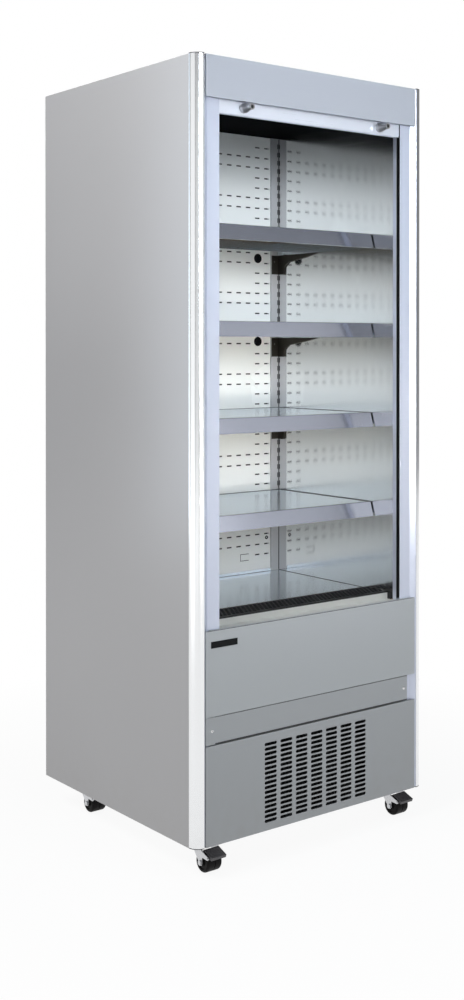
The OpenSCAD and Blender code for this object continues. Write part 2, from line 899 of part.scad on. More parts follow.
// Finned coil in the cooling well, with its tubes through two end plates
module evaporator() {
    z0 = z_well + seat;
    fin_h = well_inner - 18;
    fins = 28;
    x0 = evaporator_w / 2;
    color("#b9bdc0") from_front() {
        for (i = [0:fins - 1]) {
            x = -x0 + i * (evaporator_w - 1) / (fins - 1);
            block([x, x + 1], coil_d, [i % (fins - 1) == 0 ? z0 : z0 + 10, z0 + fin_h]);
        }
        for (j = [0:3]) for (k = [0:2])
            rod_x(
                [-x0 - 6, x0 + 6], coil_d[0] + 30 + 40 * j, z0 + fin_h / 2 + 34 * (k - 1) + 4, pipe_r
            );
    }
}

evaporator_fan_z = z_well + well_inner / 2;
motor_d = fan_plate_d + 34;

// Upright plate across the well with two fan rings and the fan motors on their arms
module evaporator_fan_plate() {
    t = 1.5;
    ring_r = evaporator_fan_r + 4;
    motor_l = 26;
    x = x_in - seat;
    arm_x = [evaporator_fan_x - 5, evaporator_fan_x + 5];
    color("#8f9398") from_front() {
        difference() {
            block([-x, x], [fan_plate_d, fan_plate_d + t], [z_well + seat, z_deck - 2 - seat]);
            both_sides()
                rod_y(
                    evaporator_fan_x, [fan_plate_d - 1, fan_plate_d + t + 1],
                    evaporator_fan_z, ring_r
                );
        }
        both_sides() {
            rod_y(evaporator_fan_x, [motor_d, motor_d + motor_l], evaporator_fan_z, 22);
            rod_y(evaporator_fan_x, [fan_plate_d + 4, motor_d + 1], evaporator_fan_z, shaft_r);
            block(
                arm_x, [motor_d + 1, motor_d + 4],
                [evaporator_fan_z - ring_r - 5, evaporator_fan_z + ring_r + 5]
            );
            for (z = [evaporator_fan_z - ring_r - 5, evaporator_fan_z + ring_r + 2])
                block(arm_x, [fan_plate_d, motor_d + 4], [z, z + 3]);
        }
    }
}

// A fan rotor: a hub with a blind bore for the shaft and pitched blades
module fan_rotor(x, d, z, blade_r, hub_r, hub_l, blades) {
    pitch = 38;
    translate([x, d, z]) rotate([-90, 0, 0]) difference() {
        union() {
            cylinder(r = hub_r, h = hub_l);
            intersection() {
                for (i = [0:blades - 1])
                    rotate([0, 0, i * 360 / blades]) translate([hub_r - 3, 0, hub_l / 2])
                        rotate([pitch, 0, 0])
                            translate([0, -blade_r * 0.27, -0.8])
                                cube([blade_r, blade_r * 0.54, 1.6]);
                cylinder(r = blade_r, h = hub_l);
            }
        }
        translate([0, 0, -1]) cylinder(r = shaft_r + running, h = hub_l + 2);
    }
}

module evaporator_fan(side) {
    color("#2b2d30") from_front()
        fan_rotor(
            side * evaporator_fan_x, fan_plate_d + 6, evaporator_fan_z, evaporator_fan_r, 16, 20, 5
        );
}

module evaporator_fan_left() {
    evaporator_fan(-1);
}

module evaporator_fan_right() {
    evaporator_fan(1);
}

condenser_x = -40;
condenser_d = [28, 78];
condenser_z = z_machine + seat;
fan_z = condenser_z + condenser_h / 2;

// Finned coil behind the ventilated panel, standing on its two end plates
module condenser() {
    fins = 30;
    x0 = condenser_x - condenser_w / 2;
    color("#5b5e62") from_front() {
        for (i = [0:fins - 1]) {
            x = x0 + i * (condenser_w - 1) / (fins - 1);
            lift = i % (fins - 1) == 0 ? 0 : 8;
            block([x, x + 1], condenser_d, [condenser_z + lift, condenser_z + condenser_h]);
        }
        for (j = [0, 1]) for (k = [0:6])
            rod_x(
                [x0 - 6, x0 + condenser_w + 6], condenser_d[0] + 13 + 24 * j,
                condenser_z + condenser_h * (k + 1) / 8, pipe_r
            );
    }
}

shroud_d = condenser_d[1] + seat;
condenser_motor_d = shroud_d + 42;

// Shroud on the condenser with its fan ring, the fan motor and the motor's stand
module condenser_fan_shroud() {
    t = 1.5;
    x = [condenser_x - condenser_w / 2, condenser_x + condenser_w / 2];
    foot_x = [condenser_x - 12, condenser_x + 12];
    foot_d = [condenser_motor_d + 20, condenser_motor_d + 40];
    color("#6f7378") from_front() {
        difference() {
            block(x, [shroud_d, shroud_d + t], [condenser_z, condenser_z + condenser_h]);
            rod_y(condenser_x, [shroud_d - 1, shroud_d + t + 1], fan_z, condenser_fan_r + 5);
        }
        rod_y(condenser_x, [condenser_motor_d, condenser_motor_d + 60], fan_z, 36);
        rod_y(condenser_x, [shroud_d + 6, condenser_motor_d + 1], fan_z, shaft_r);
        block(foot_x, foot_d, [condenser_z, fan_z]);
        block(foot_x, [shroud_d, foot_d[1]], [condenser_z, condenser_z + 2]);
    }
}

module condenser_fan() {
    color("#2b2d30") from_front()
        fan_rotor(condenser_x, shroud_d + 8, fan_z, condenser_fan_r, 26, 26, 5);
}

compressor_at = [150, body_d - 290];
stub_x = 44;
suction_x = compressor_at[0] + stub_x;
liquid_x = compressor_at[0] - stub_x;
pipe_d = (coil_d[1] + d_rear) / 2 + 12;
stub_l = 8;

// Hermetic compressor on its foot plate, with two pipe stubs on top
module compressor() {
    r = compressor_r;
    h = compressor_h;
    color("#1f2124") from_front() translate([compressor_at[0], compressor_at[1], z_machine + seat]) {
        rotate_extrude() {
            translate([0, 10]) square([r - 12, h - 10]);
            translate([0, 22]) square([r, h - 46]);
            translate([r - 12, 22]) circle(12);
            translate([0, h - 36]) intersection() {
                circle(r);
                square([r, 36]);
            }
        }
        difference() {
            translate([-r - 6, -r + 10, 0]) cube([2 * r + 12, 2 * r - 20, 12]);
            for (sx = [-1, 1]) for (sy = [-1, 1])
                translate([sx * (r - 4), sy * (r - 20), -1]) cylinder(r = 5, h = 14);
        }
        for (s = [-1, 1])
            translate([s * stub_x, 0, h - 24]) cylinder(r = pipe_r, h = 24 + stub_l);
    }
}

// A pipe through a list of points, with brazed elbows a little wider than the pipe
module pipe(points) {
    for (i = [0:len(points) - 2]) {
        a = points[i];
        v = points[i + 1] - a;
        l = norm(v);
        translate(a) rotate([0, acos(v[2] / l), atan2(v[1], v[0])]) cylinder(r = pipe_r, h = l);
        if (i > 0)
            translate(a) sphere(pipe_r * 1.15);
    }
}

pipe_z = z_machine + seat + compressor_h + stub_l;
coil_pipe_z = z_well + 40;

// Suction and liquid pipes from the compressor up through the floor to the back of the coil
module refrigerant_pipes() {
    turn = 36;
    color("#b07a4e") from_front() {
        for (x = [suction_x, liquid_x])
            pipe([
                [x, compressor_at[1], pipe_z], [x, compressor_at[1], pipe_z + turn],
                [x, pipe_d, pipe_z + turn], [x, pipe_d, coil_pipe_z],
                [x, coil_d[1] + seat, coil_pipe_z]
            ]);
    }
}

// Tray on the base pan where the defrost water evaporates
module drip_tray() {
    x = [-x_skin + 44, compressor_at[0] - 200];
    d = [body_d - 260, body_d - 50];
    z = [z_machine + seat, z_machine + 40];
    color("#c9ced3") from_front() difference() {
        block(x, d, z);
        block([x[0] + 2, x[1] - 2], [d[0] + 2, d[1] - 2], [z[0] + 2, z[1] + 1]);
    }
}

// Closed box on the base pan with the thermostat and the relays
module control_box() {
    x0 = -x_skin + 34;
    d0 = body_d - 540;
    color("#3b3e42") from_front()
        block([x0, x0 + 115], [d0, d0 + 180], [z_machine + seat, z_machine + 110]);
}

// Gland set flush in the back sheet, where the mains cord comes in
module cord_gland() {
    nut_l = 7;
    tail_l = 15;
    r = gland_r + gland_wall;
    color("#26282b") from_front() difference() {
        union() {
            rod_y(gland_x, [d_back - nut_l - tail_l, body_d], gland_z, r);
            translate([gland_x, d_back - nut_l, gland_z]) rotate([-90, 0, 0])
                cylinder(r = r * 1.5, h = nut_l, $fn = 6);
        }
        rod_y(gland_x, [d_back - nut_l - tail_l - 1, body_d + 1], gland_z, gland_r);
    }
}

castor_d = [castor_front_d, body_d - castor_rear_inset];

// Puts a castor piece at its kingpin: side is -1 or 1, place is 0 in front and 1 behind
module at_castor(side, place) {
    x = side < 0 ? -castor_left_x : castor_right_x;
    from_front() translate([x, castor_d[place], 0]) children();
}

// Castor plates under the base pan, each with four bolt heads, its kingpin and the pin's head
module castor_plates() {
    bolt = 21;
    head_h = 3;
    color("#b9bcc0") for (side = [-1, 1]) for (place = [0, 1])
        at_castor(side, place) {
            block([-plate_half, plate_half], [-plate_half, plate_half], [z_plate, z_pan]);
            for (bx = [-bolt, bolt]) for (by = [-bolt, bolt])
                translate([bx, by, z_plate - head_h]) cylinder(r = 4.5, h = head_h + 1, $fn = 6);
            translate([0, 0, z_yoke - seat - head_h]) {
                cylinder(r = kingpin_r, h = z_plate + 1 - z_yoke + seat + head_h);
                cylinder(r = kingpin_r + 4, h = head_h);
            }
        }
}

// Side outline of a fork leg in depth and height
module leg_outline() {
    eye_r = axle_r + 3;
    pin_eye_r = pedal_pin_r + 2;
    top = z_yoke + yoke_t;
    polygon([
        [fork_y[1], top], [fork_y[0], top], [fork_y[0], pedal_pin_z + 12],
        [pedal_pin_y - 2, pedal_pin_z + pin_eye_r - 0.5],
        [pedal_pin_y, pedal_pin_z - pin_eye_r + 0.3],
        [-castor_trail - eye_r, pedal_pin_z - pin_eye_r + 1.5],
        [-castor_trail - eye_r, wheel_r], [-castor_trail + eye_r, wheel_r],
        [fork_y[1], top - 12]
    ]);
    translate([-castor_trail, wheel_r]) circle(eye_r);
    translate([pedal_pin_y, pedal_pin_z]) circle(pin_eye_r);
}

// Pressed steel fork that turns on the kingpin and holds the axle and the brake's pin
module castor_fork() {
    nut_h = 3.5;
    difference() {
        union() {
            both_sides() along_x([leg_x, leg_x + leg_t]) leg_outline();
            block([-leg_x - leg_t, leg_x + leg_t], fork_y, [z_yoke, z_yoke + yoke_t]);
            translate([0, 0, z_yoke]) cylinder(r = crown_r, h = crown_h);
            rod_x([-leg_x - leg_t - 1, leg_x + leg_t + 1], -castor_trail, wheel_r, axle_r);
            both_sides()
                translate([leg_x + leg_t, -castor_trail, wheel_r]) rotate([0, 90, 0])
                    cylinder(r = axle_r + 2.5, h = nut_h, $fn = 6);
            rod_x([-leg_x - leg_t - 1, leg_x + leg_t + 1], pedal_pin_y, pedal_pin_z, pedal_pin_r);
        }
        translate([0, 0, z_yoke - 1]) cylinder(r = kingpin_r + running, h = crown_h + 2);
    }
}

module castor_fork_front_left() {
    color("#b4b6ba") at_castor(-1, 0) castor_fork();
}

module castor_fork_front_right() {
    color("#b4b6ba") at_castor(1, 0) castor_fork();
}

module castor_fork_rear_left() {
    color("#b4b6ba") at_castor(-1, 1) castor_fork();
}

module castor_fork_rear_right() {
    color("#b4b6ba") at_castor(1, 1) castor_fork();
}

// Twin wheel: two treads with round shoulders on one hub, parted by a groove
module castor_wheel() {
    half = wheel_w / 2;
    shoulder = 6;
    translate([0, -castor_trail, wheel_r]) rotate([0, 90, 0]) rotate_extrude() difference() {
        union() {
            translate([axle_r + running, -half])
                square([wheel_r - shoulder - axle_r - running, wheel_w]);
            translate([axle_r + running, -half + shoulder])
                square([wheel_r - axle_r - running, wheel_w - 2 * shoulder]);
            for (s = [-1, 1])
                translate([wheel_r - shoulder, s * (half - shoulder)]) circle(shoulder);
        }
        translate([wheel_r - 2, -1]) square([3, 2]);
        for (s = [-1, 1])
            translate([axle_r + 5, s * half - 2]) square([wheel_r - axle_r - 13, 4]);
    }
}

module castor_wheel_front_left() {
    color("#0c0d0e") at_castor(-1, 0) castor_wheel();
}

module castor_wheel_front_right() {
    color("#0c0d0e") at_castor(1, 0) castor_wheel();
}

module castor_wheel_rear_left() {
    color("#0c0d0e") at_castor(-1, 1) castor_wheel();
}

module castor_wheel_rear_right() {
    color("#0c0d0e") at_castor(1, 1) castor_wheel();
}

// Brake pedal: a tube on its pin, a sloping tread plate on two webs and a shoe at the wheel
module brake_pedal() {
    half = leg_x - 0.6;
    tube_r = pedal_pin_r + 1.6;
    plate_y = [-12.4, 21.3];
    plate_z = [6.6, 8.8];
    shoe_l = 5.3;
    slope = 20;
    translate([0, pedal_pin_y, pedal_pin_z]) difference() {
        union() {
            rod_x([-half, half], 0, 0, tube_r);
            rotate([slope, 0, 0]) {
                block([-half + 1, half - 1], plate_y, plate_z);
                block([-half + 1, half - 1], [plate_y[0], plate_y[0] + 2], [1, plate_z[1]]);
                both_sides()
                    block([half - 3, half - 1], [plate_y[0], 5], [1, plate_z[0] + 1]);
            }
            rotate([-45, 0, 0])
                block([-half + 5, half - 5], [0, shoe_l], [-2, 2]);
        }
        rod_x([-half - 1, half + 1], 0, 0, pedal_pin_r + running);
    }
}

module brake_pedal_left() {
    color("#4a4a50") at_castor(-1, 0) brake_pedal();
}

module brake_pedal_right() {
    color("#4a4a50") at_castor(1, 0) brake_pedal();
}

side_panel_left();
side_panel_right();
insulation();
side_liners();
corner_profiles();
profile_caps();
roof_panel();
canopy_fascia();
front_posts();
blind_guides();
blind_roller();
roller_brackets();
blind_fabric();
blind_bar();
blind_knobs();
back_panel();
inner_tub();
duct_panel();
duct_plugs();
shelf_uprights();
shelf_1();
shelf_2();
shelf_3();
shelf_4();
price_rails();
shelf_brackets();
ceiling_panel();
discharge_grille();
deck_panel();
return_grille();
sill_trim();
lower_front_panel();
badge_plate();
cover_strip();
cover_screws();
grille_panel();
base_pan();
evaporator();
evaporator_fan_plate();
evaporator_fan_left();
evaporator_fan_right();
condenser();
condenser_fan_shroud();
condenser_fan();
compressor();
refrigerant_pipes();
drip_tray();
control_box();
cord_gland();
castor_plates();
castor_fork_front_left();
castor_fork_front_right();
castor_fork_rear_left();
castor_fork_rear_right();
castor_wheel_front_left();
castor_wheel_front_right();
castor_wheel_rear_left();
castor_wheel_rear_right();
brake_pedal_left();
brake_pedal_right();
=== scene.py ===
# %% [markdown]
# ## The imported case
# The solids of the display case come in as a fixed frame, so nothing has to be measured or fitted
# again. A scene could also rebuild each sheet by hand, but then its sizes would drift away from the
# construction. Here every finish and every added detail takes its place from the frame.

import math

import bmesh
import bpy
from mathutils import Matrix, Vector


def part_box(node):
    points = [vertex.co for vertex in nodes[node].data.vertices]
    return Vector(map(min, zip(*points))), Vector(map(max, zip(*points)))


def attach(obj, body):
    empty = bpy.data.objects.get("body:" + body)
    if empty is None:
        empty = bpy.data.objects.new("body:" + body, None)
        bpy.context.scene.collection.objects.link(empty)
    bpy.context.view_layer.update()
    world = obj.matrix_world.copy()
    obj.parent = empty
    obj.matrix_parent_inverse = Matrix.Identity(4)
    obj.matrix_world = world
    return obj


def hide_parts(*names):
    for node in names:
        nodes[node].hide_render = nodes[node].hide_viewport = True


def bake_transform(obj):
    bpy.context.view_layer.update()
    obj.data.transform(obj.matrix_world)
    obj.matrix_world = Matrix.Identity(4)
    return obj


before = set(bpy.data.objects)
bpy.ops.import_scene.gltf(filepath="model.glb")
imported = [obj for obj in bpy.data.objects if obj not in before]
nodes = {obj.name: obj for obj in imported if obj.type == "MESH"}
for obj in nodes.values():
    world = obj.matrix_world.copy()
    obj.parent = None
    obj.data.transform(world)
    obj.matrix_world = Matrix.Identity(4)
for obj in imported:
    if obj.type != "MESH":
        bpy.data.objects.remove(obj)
scene = bpy.context.scene
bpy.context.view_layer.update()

# %% [markdown]
# ## The camera
# The photograph was taken from the left and a little above the middle. The camera could be turned
# down until the floor is in the picture, but then the upright edges would lean together. In the photo
# they lean by only a pixel or two, so the camera looks down by less than half a degree, and the lens is
# shifted instead. Its place was worked out from the cabinet's straight edges.

# %% Camera
PHOTO_HEIGHT = 1000
FOCAL_PX = 1310.0
CENTRE_ROW = 356.3
EYE = (-2.1596, -2.7739, 1.2528)
HEADING = math.radians(-37.791)
PITCH = math.radians(-0.414)

camera_data = bpy.data.cameras.new("photo_camera")
camera_data.sensor_width = 36
camera_data.lens = FOCAL_PX / PHOTO_HEIGHT * camera_data.sensor_width
camera_data.shift_y = (CENTRE_ROW - PHOTO_HEIGHT / 2) / PHOTO_HEIGHT
camera = bpy.data.objects.new("photo_camera", camera_data)
camera.location = EYE
camera.rotation_euler = (math.radians(90) + PITCH, 0, HEADING)
scene.collection.objects.link(camera)
scene.camera = camera
scene.view_settings.view_transform = "Standard"
print("lens", round(camera_data.lens, 2), "mm, shift", round(camera_data.shift_y, 4))

# %% [markdown]
# ## Small helpers for node trees
# A material is a tree of nodes. Writing each node in four or five lines makes a script hard to read,
# so one helper adds a node and sets or links its inputs in a single call. The others are the few sums
# that every effect below needs.

# %% Node helpers
def add_node(tree, kind, settings=None, **inputs):
    """Adds a node. An input is a value, or the output socket that feeds it."""
    made = tree.nodes.new(kind)
    for name, value in (settings or {}).items():
        setattr(made, name, value)
    for name, value in inputs.items():
        key = int(name[1:]) if name[0] == "_" else name.replace("_", " ")
        if isinstance(value, bpy.types.NodeSocket):
            tree.links.new(value, made.inputs[key])
        else:
            made.inputs[key].default_value = value
    return made


def math_node(tree, operation, a, b=0.0):
    """The result of one sum on two values or sockets."""
    return add_node(tree, "ShaderNodeMath", {"operation": operation}, _0=a, _1=b).outputs[0]


def remap(tree, value, low, high, to_low, to_high):
    """Maps one span of values to another, and stays inside it."""
    made = add_node(
        tree, "ShaderNodeMapRange",
        Value=value, From_Min=low, From_Max=high, To_Min=to_low, To_Max=to_high,
    )
    return made.outputs["Result"]


def blend_colors(tree, factor, a, b):
    """A colour between a and b."""
    made = add_node(tree, "ShaderNodeMix", {"data_type": "RGBA"}, _0=factor, _6=a, _7=b)
    return made.outputs[2]


def weigh(tree, a, b, share):
    """One value out of two: a share of a, and the rest of b."""
    return math_node(tree, "ADD", math_node(tree, "MULTIPLY", a, share),
                     math_node(tree, "MULTIPLY", b, 1 - share))


print("node helpers ready")

# %% [markdown]
# ## Helpers for effect groups
# An effect that several finishes share is a node group, built once. It could be copied into each
# material, but then a change would have to be made in all of them. Those that stand for a surface hand
# out a colour, a roughness and a height, and vary them around the values that they are given.

# %% Effect helpers
COLOR, FLOAT, VECTOR = "NodeSocketColor", "NodeSocketFloat", "NodeSocketVector"
SURFACE = {"Color": COLOR, "Roughness": FLOAT, "Height": FLOAT}


def effect_group(name, inputs, outputs):
    """An empty node group with named sockets, and its input and output nodes."""
    group = bpy.data.node_groups.new(name, "ShaderNodeTree")
    for socket, (kind, default) in inputs.items():
        made = group.interface.new_socket(socket, in_out="INPUT", socket_type=kind)
        made.default_value = default
    for socket, kind in outputs.items():
        group.interface.new_socket(socket, in_out="OUTPUT", socket_type=kind)
    return group, group.nodes.new("NodeGroupInput"), group.nodes.new("NodeGroupOutput")


def lighten(tree, color, value):
    """A colour times a value."""
    return add_node(tree, "ShaderNodeHueSaturation", Color=color, Value=value).outputs["Color"]


def vary_color(tree, color, mask, amount):
    """A colour that a mask around one half makes lighter and darker."""
    span = math_node(tree, "MULTIPLY", math_node(tree, "SUBTRACT", mask, 0.5), amount)
    return lighten(tree, color, math_node(tree, "ADD", span, 1.0))


def vary_value(tree, value, mask, amount):
    """A value that a mask around one half raises and lowers."""
    return math_node(tree, "ADD", value, remap(tree, mask, 0.3, 0.7, -amount, amount))


def hand_out(tree, group_out, **results):
    """Links results to the group's outputs of the same name."""
    for name, socket in results.items():
        tree.links.new(socket, group_out.inputs[name])
    print("group", tree.name, "hands out", ", ".join(results))


print("effect helpers ready")

# %% [markdown]
# ## Effect: powder coat
# Baked powder coat is smooth from afar and has a fine orange peel close up. Its shade also drifts a
# little over a large sheet. One noise could only give one of these, so there are three: a broad one
# and a very fine one shift the shade, and one in between is the peel. They read the object's own
# coordinates, so the pattern stays on the sheet when the camera moves.

# %% Powder coat group
powder, group_in, group_out = effect_group(
    "powder_coat",
    {"Color": (COLOR, (0.5, 0.5, 0.5, 1)), "Drift": (FLOAT, 0.06), "Roughness": (FLOAT, 0.4),
     "Peel per metre": (FLOAT, 700.0)},
    SURFACE,
)
given = group_in.outputs
place = add_node(powder, "ShaderNodeTexCoord").outputs["Object"]
peel = add_node(powder, "ShaderNodeTexNoise", Vector=place, Detail=2.0,
                Scale=given["Peel per metre"]).outputs["Fac"]
drift = add_node(powder, "ShaderNodeTexNoise", Vector=place, Scale=2.2, Detail=4.0).outputs["Fac"]
fleck = add_node(powder, "ShaderNodeTexNoise", Vector=place, Scale=2600.0).outputs["Fac"]
hand_out(
    powder, group_out, Height=peel,
    Color=vary_color(powder, given["Color"], weigh(powder, drift, fleck, 0.8), given["Drift"]),
    Roughness=vary_value(powder, given["Roughness"], drift, 0.04),
)

# %% [markdown]
# ## Effect: drawn grain
# Rolled, brushed and extruded metal has fine lines along one direction. Modelled scratches would need
# far too many faces. A noise that is squeezed much more across the lines than along them gives the
# same grain. Mixed with a broad cloud it changes the colour and the roughness, and on its own it is
# the height, because on real metal one scratch does all three.

# %% Drawn grain group
grain, group_in, group_out = effect_group(
    "drawn_grain",
    {"Color": (COLOR, (0.6, 0.6, 0.6, 1)), "Lines per metre": (VECTOR, (900, 900, 8)),
     "Contrast": (FLOAT, 0.1), "Roughness": (FLOAT, 0.3)},
    SURFACE,
)
given = group_in.outputs
place = add_node(grain, "ShaderNodeTexCoord").outputs["Object"]
squeezed = add_node(grain, "ShaderNodeVectorMath", {"operation": "MULTIPLY"},
                    _0=place, _1=given["Lines per metre"]).outputs[0]
lines = add_node(grain, "ShaderNodeTexNoise", Vector=squeezed, Scale=1.0,
                 Detail=5.0, Roughness=0.65).outputs["Fac"]
cloud = add_node(grain, "ShaderNodeTexNoise", Vector=place, Scale=3.0, Detail=3.0).outputs["Fac"]
mix = weigh(grain, lines, cloud, 0.6)
hand_out(
    grain, group_out, Height=lines,
    Color=vary_color(grain, given["Color"], mix, given["Contrast"]),
    Roughness=vary_value(grain, given["Roughness"], mix, 0.05),
)

# %% [markdown]
# ## Effect: moulded skin
# Moulded plastic and rubber have a fine pebbled skin. Plain noise would look like dirt there. A cell
# pattern under a millimetre across gives round pebbles, and a broad noise keeps large faces from
# looking printed.

# %% Moulded skin group
skin, group_in, group_out = effect_group(
    "moulded_skin",
    {"Color": (COLOR, (0.02, 0.02, 0.02, 1)), "Pebbles per metre": (FLOAT, 1400.0),
     "Roughness": (FLOAT, 0.5)},
    SURFACE,
)
given = group_in.outputs
place = add_node(skin, "ShaderNodeTexCoord").outputs["Object"]
pebbles = add_node(skin, "ShaderNodeTexVoronoi", Vector=place,
                   Scale=given["Pebbles per metre"]).outputs["Distance"]
cloud = add_node(skin, "ShaderNodeTexNoise", Vector=place, Scale=14.0, Detail=3.0).outputs["Fac"]
hand_out(
    skin, group_out, Height=pebbles,
    Color=lighten(skin, given["Color"], remap(skin, cloud, 0.3, 0.7, 0.82, 1.25)),
    Roughness=vary_value(skin, given["Roughness"], cloud, 0.06),
)

# %% [markdown]
# ## Effect: plain weave
# The night blind is a tight white cloth. A weave could be modelled thread by thread, but a thread is
# under a millimetre thick. Two sets of waves at right angles look the same from any distance that
# shows the whole case.

# %% Weave group
weave, group_in, group_out = effect_group(
    "plain_weave",
    {"Color": (COLOR, (0.8, 0.8, 0.8, 1)), "Threads per metre": (FLOAT, 1100.0),
     "Roughness": (FLOAT, 0.6)},
    SURFACE,
)
given = group_in.outputs
place = add_node(weave, "ShaderNodeTexCoord").outputs["Object"]
wave_scale = math_node(weave, "MULTIPLY", given["Threads per metre"], 0.05)
threads = [
    add_node(weave, "ShaderNodeTexWave", {"bands_direction": way}, Vector=place,
             Scale=wave_scale, Distortion=0.4).outputs["Fac"]
    for way in ("X", "Z")
]
cross = math_node(weave, "MAXIMUM", *threads)
hand_out(
    weave, group_out, Height=cross,
    Color=lighten(weave, given["Color"], remap(weave, cross, 0.0, 1.0, 0.86, 1.04)),
    Roughness=math_node(weave, "ADD", given["Roughness"],
                        remap(weave, cross, 0.0, 1.0, 0.1, -0.05)),
)

# %% [markdown]
# ## Effect: floor dust
# A case on castors gets dusty from below. A brown band at the foot would end in a straight line, so
# the dust is strongest at the floor, fades out upwards and is broken up by noise. Each finish says how
# much of it settles there.

# %% Floor dust group
DUST_COLOR = (0.35, 0.32, 0.28, 1)
dust, group_in, group_out = effect_group(
    "floor_dust",
    {"Color": (COLOR, (0.5, 0.5, 0.5, 1)), "Reach": (FLOAT, 0.35), "Amount": (FLOAT, 0.25)},
    {"Color": COLOR},
)
given = group_in.outputs
place = add_node(dust, "ShaderNodeTexCoord").outputs["Object"]
height = add_node(dust, "ShaderNodeSeparateXYZ", Vector=place).outputs["Z"]
specks = add_node(dust, "ShaderNodeTexNoise", Vector=place, Scale=38.0, Detail=8.0).outputs["Fac"]
low = math_node(dust, "SUBTRACT", 1.0, math_node(dust, "DIVIDE", height, given["Reach"]))
low = math_node(dust, "MAXIMUM", low, 0.0)
settled = math_node(dust, "MULTIPLY", math_node(dust, "MULTIPLY", low, low),
                    remap(dust, specks, 0.35, 0.75, 0.2, 1.0))
settled = math_node(dust, "MULTIPLY", settled, given["Amount"])
hand_out(dust, group_out, Color=blend_colors(dust, settled, given["Color"], DUST_COLOR))

# %% [markdown]
# ## One way to build a finish
# Every finish is an effect group, an optional layer of floor dust, a bump and one Principled shader.
# What is the same all over, such as metalness, is set on the shader itself. The shader stays in the
# material, because a group may only hand out colours, values and heights.

# %% Finish builder
BUMP_STRENGTH = 0.6


def finish(name, effect, color, roughness, relief=0.00002, dusty=0.0, effect_values=None, **shader):
    """A material made of one effect group, floor dust, a bump and a Principled shader."""
    made = bpy.data.materials.new(name)
    made.use_nodes = True
    tree = made.node_tree
    principled = tree.nodes["Principled BSDF"]
    layer = add_node(tree, "ShaderNodeGroup", {"node_tree": effect},
                     Color=(*color, 1), Roughness=roughness)
    for socket, value in (effect_values or {}).items():
        layer.inputs[socket].default_value = value
    shown = layer.outputs["Color"]
    if dusty:
        film = add_node(tree, "ShaderNodeGroup", {"node_tree": dust}, Color=shown, Amount=dusty)
        shown = film.outputs["Color"]
    bump = add_node(tree, "ShaderNodeBump", Height=layer.outputs["Height"], Distance=relief,
                    Strength=BUMP_STRENGTH)
    tree.links.new(shown, principled.inputs["Base Color"])
    tree.links.new(layer.outputs["Roughness"], principled.inputs["Roughness"])
    tree.links.new(bump.outputs["Normal"], principled.inputs["Normal"])
    for socket, value in shader.items():
        principled.inputs[socket.replace("_", " ")].default_value = value
    return made


def dress(material, *names):
    """Gives solids of the frame this material."""
    for name in names:
        mesh = nodes[name].data
        mesh.materials.clear()
        mesh.materials.append(material)
    print(material.name, "on", ", ".join(names))


print("finish builder ready")

# %% [markdown]
# ## Finish: silver powder coat
# The outer sheets are silver-grey powder coat. It isn't bare metal: a low metalness with a soft gloss
# gives the satin look, and a mirror-like setting would show the floor in it. The sheets are one paint,
# but each is given its own tone to match how it is lit, which is painted light and shade: the canopy
# is bluer, and the ventilated panel and the strip above it are darker than the panel over them. The
# posts are pale lavender with more gloss.

# %% Cabinet sheets
# Each silver tone below is painted light and shade on one paint; the darker vent tone is painted shade.
side_silver = finish("side_silver", powder, (0.44, 0.44, 0.45), 0.38, dusty=0.2, Metallic=0.3)
dress(side_silver, "side_panel_left", "side_panel_right", "roof_panel")
canopy_silver = finish("canopy_silver", powder, (0.46, 0.48, 0.53), 0.42, Metallic=0.2)
dress(canopy_silver, "canopy_fascia")
panel_silver = finish("panel_silver", powder, (0.54, 0.565, 0.58), 0.40, dusty=0.2, Metallic=0.2)
dress(panel_silver, "lower_front_panel")
vent_shaded_silver = finish("vent_shaded_silver", powder, (0.47, 0.49, 0.505), 0.40, dusty=0.3, Metallic=0.2)
dress(vent_shaded_silver, "cover_strip", "grille_panel")
post_lavender = finish("post_lavender", powder, (0.66, 0.70, 0.82), 0.30,
                       relief=0.000006, Metallic=0.45)
dress(post_lavender, "front_posts")

# %% [markdown]
# ## Finish: extruded and mirror metal
# The corner profiles and the blind's bar are extruded aluminium with lines along their length. The
# side liners are mirror-bright steel sheet, rolled along the depth of the case. They could be a perfect
# mirror, but the real sheet smears its reflections upright, so it is anisotropic. All three use the
# same grain, with its lines laid along another axis.

# %% Profiles, bar and liners
def metal(name, color, roughness, lines, contrast, **more):
    """A metal finish. Lines holds how fast the grain changes per metre along x, y and z."""
    values = {"Lines per metre": lines, "Contrast": contrast}
    return finish(name, grain, color, roughness, effect_values=values, **more)


profile_alloy = metal("profile_alloy", (0.84, 0.85, 0.86), 0.22, (1500, 1500, 6), 0.08,
                      dusty=0.15, Metallic=1.0)
dress(profile_alloy, "corner_profiles")
bar_alloy = metal("bar_alloy", (0.86, 0.90, 0.99), 0.30, (6, 1500, 1500), 0.06, Metallic=0.6)
dress(bar_alloy, "blind_bar")
mirror_steel = metal("mirror_steel", (0.97, 0.975, 0.98), 0.10, (4, 4, 1200), 0.05,
                     relief=0.000005, Metallic=1.0, Anisotropic=0.85, Anisotropic_Rotation=0.25)
dress(mirror_steel, "side_liners")
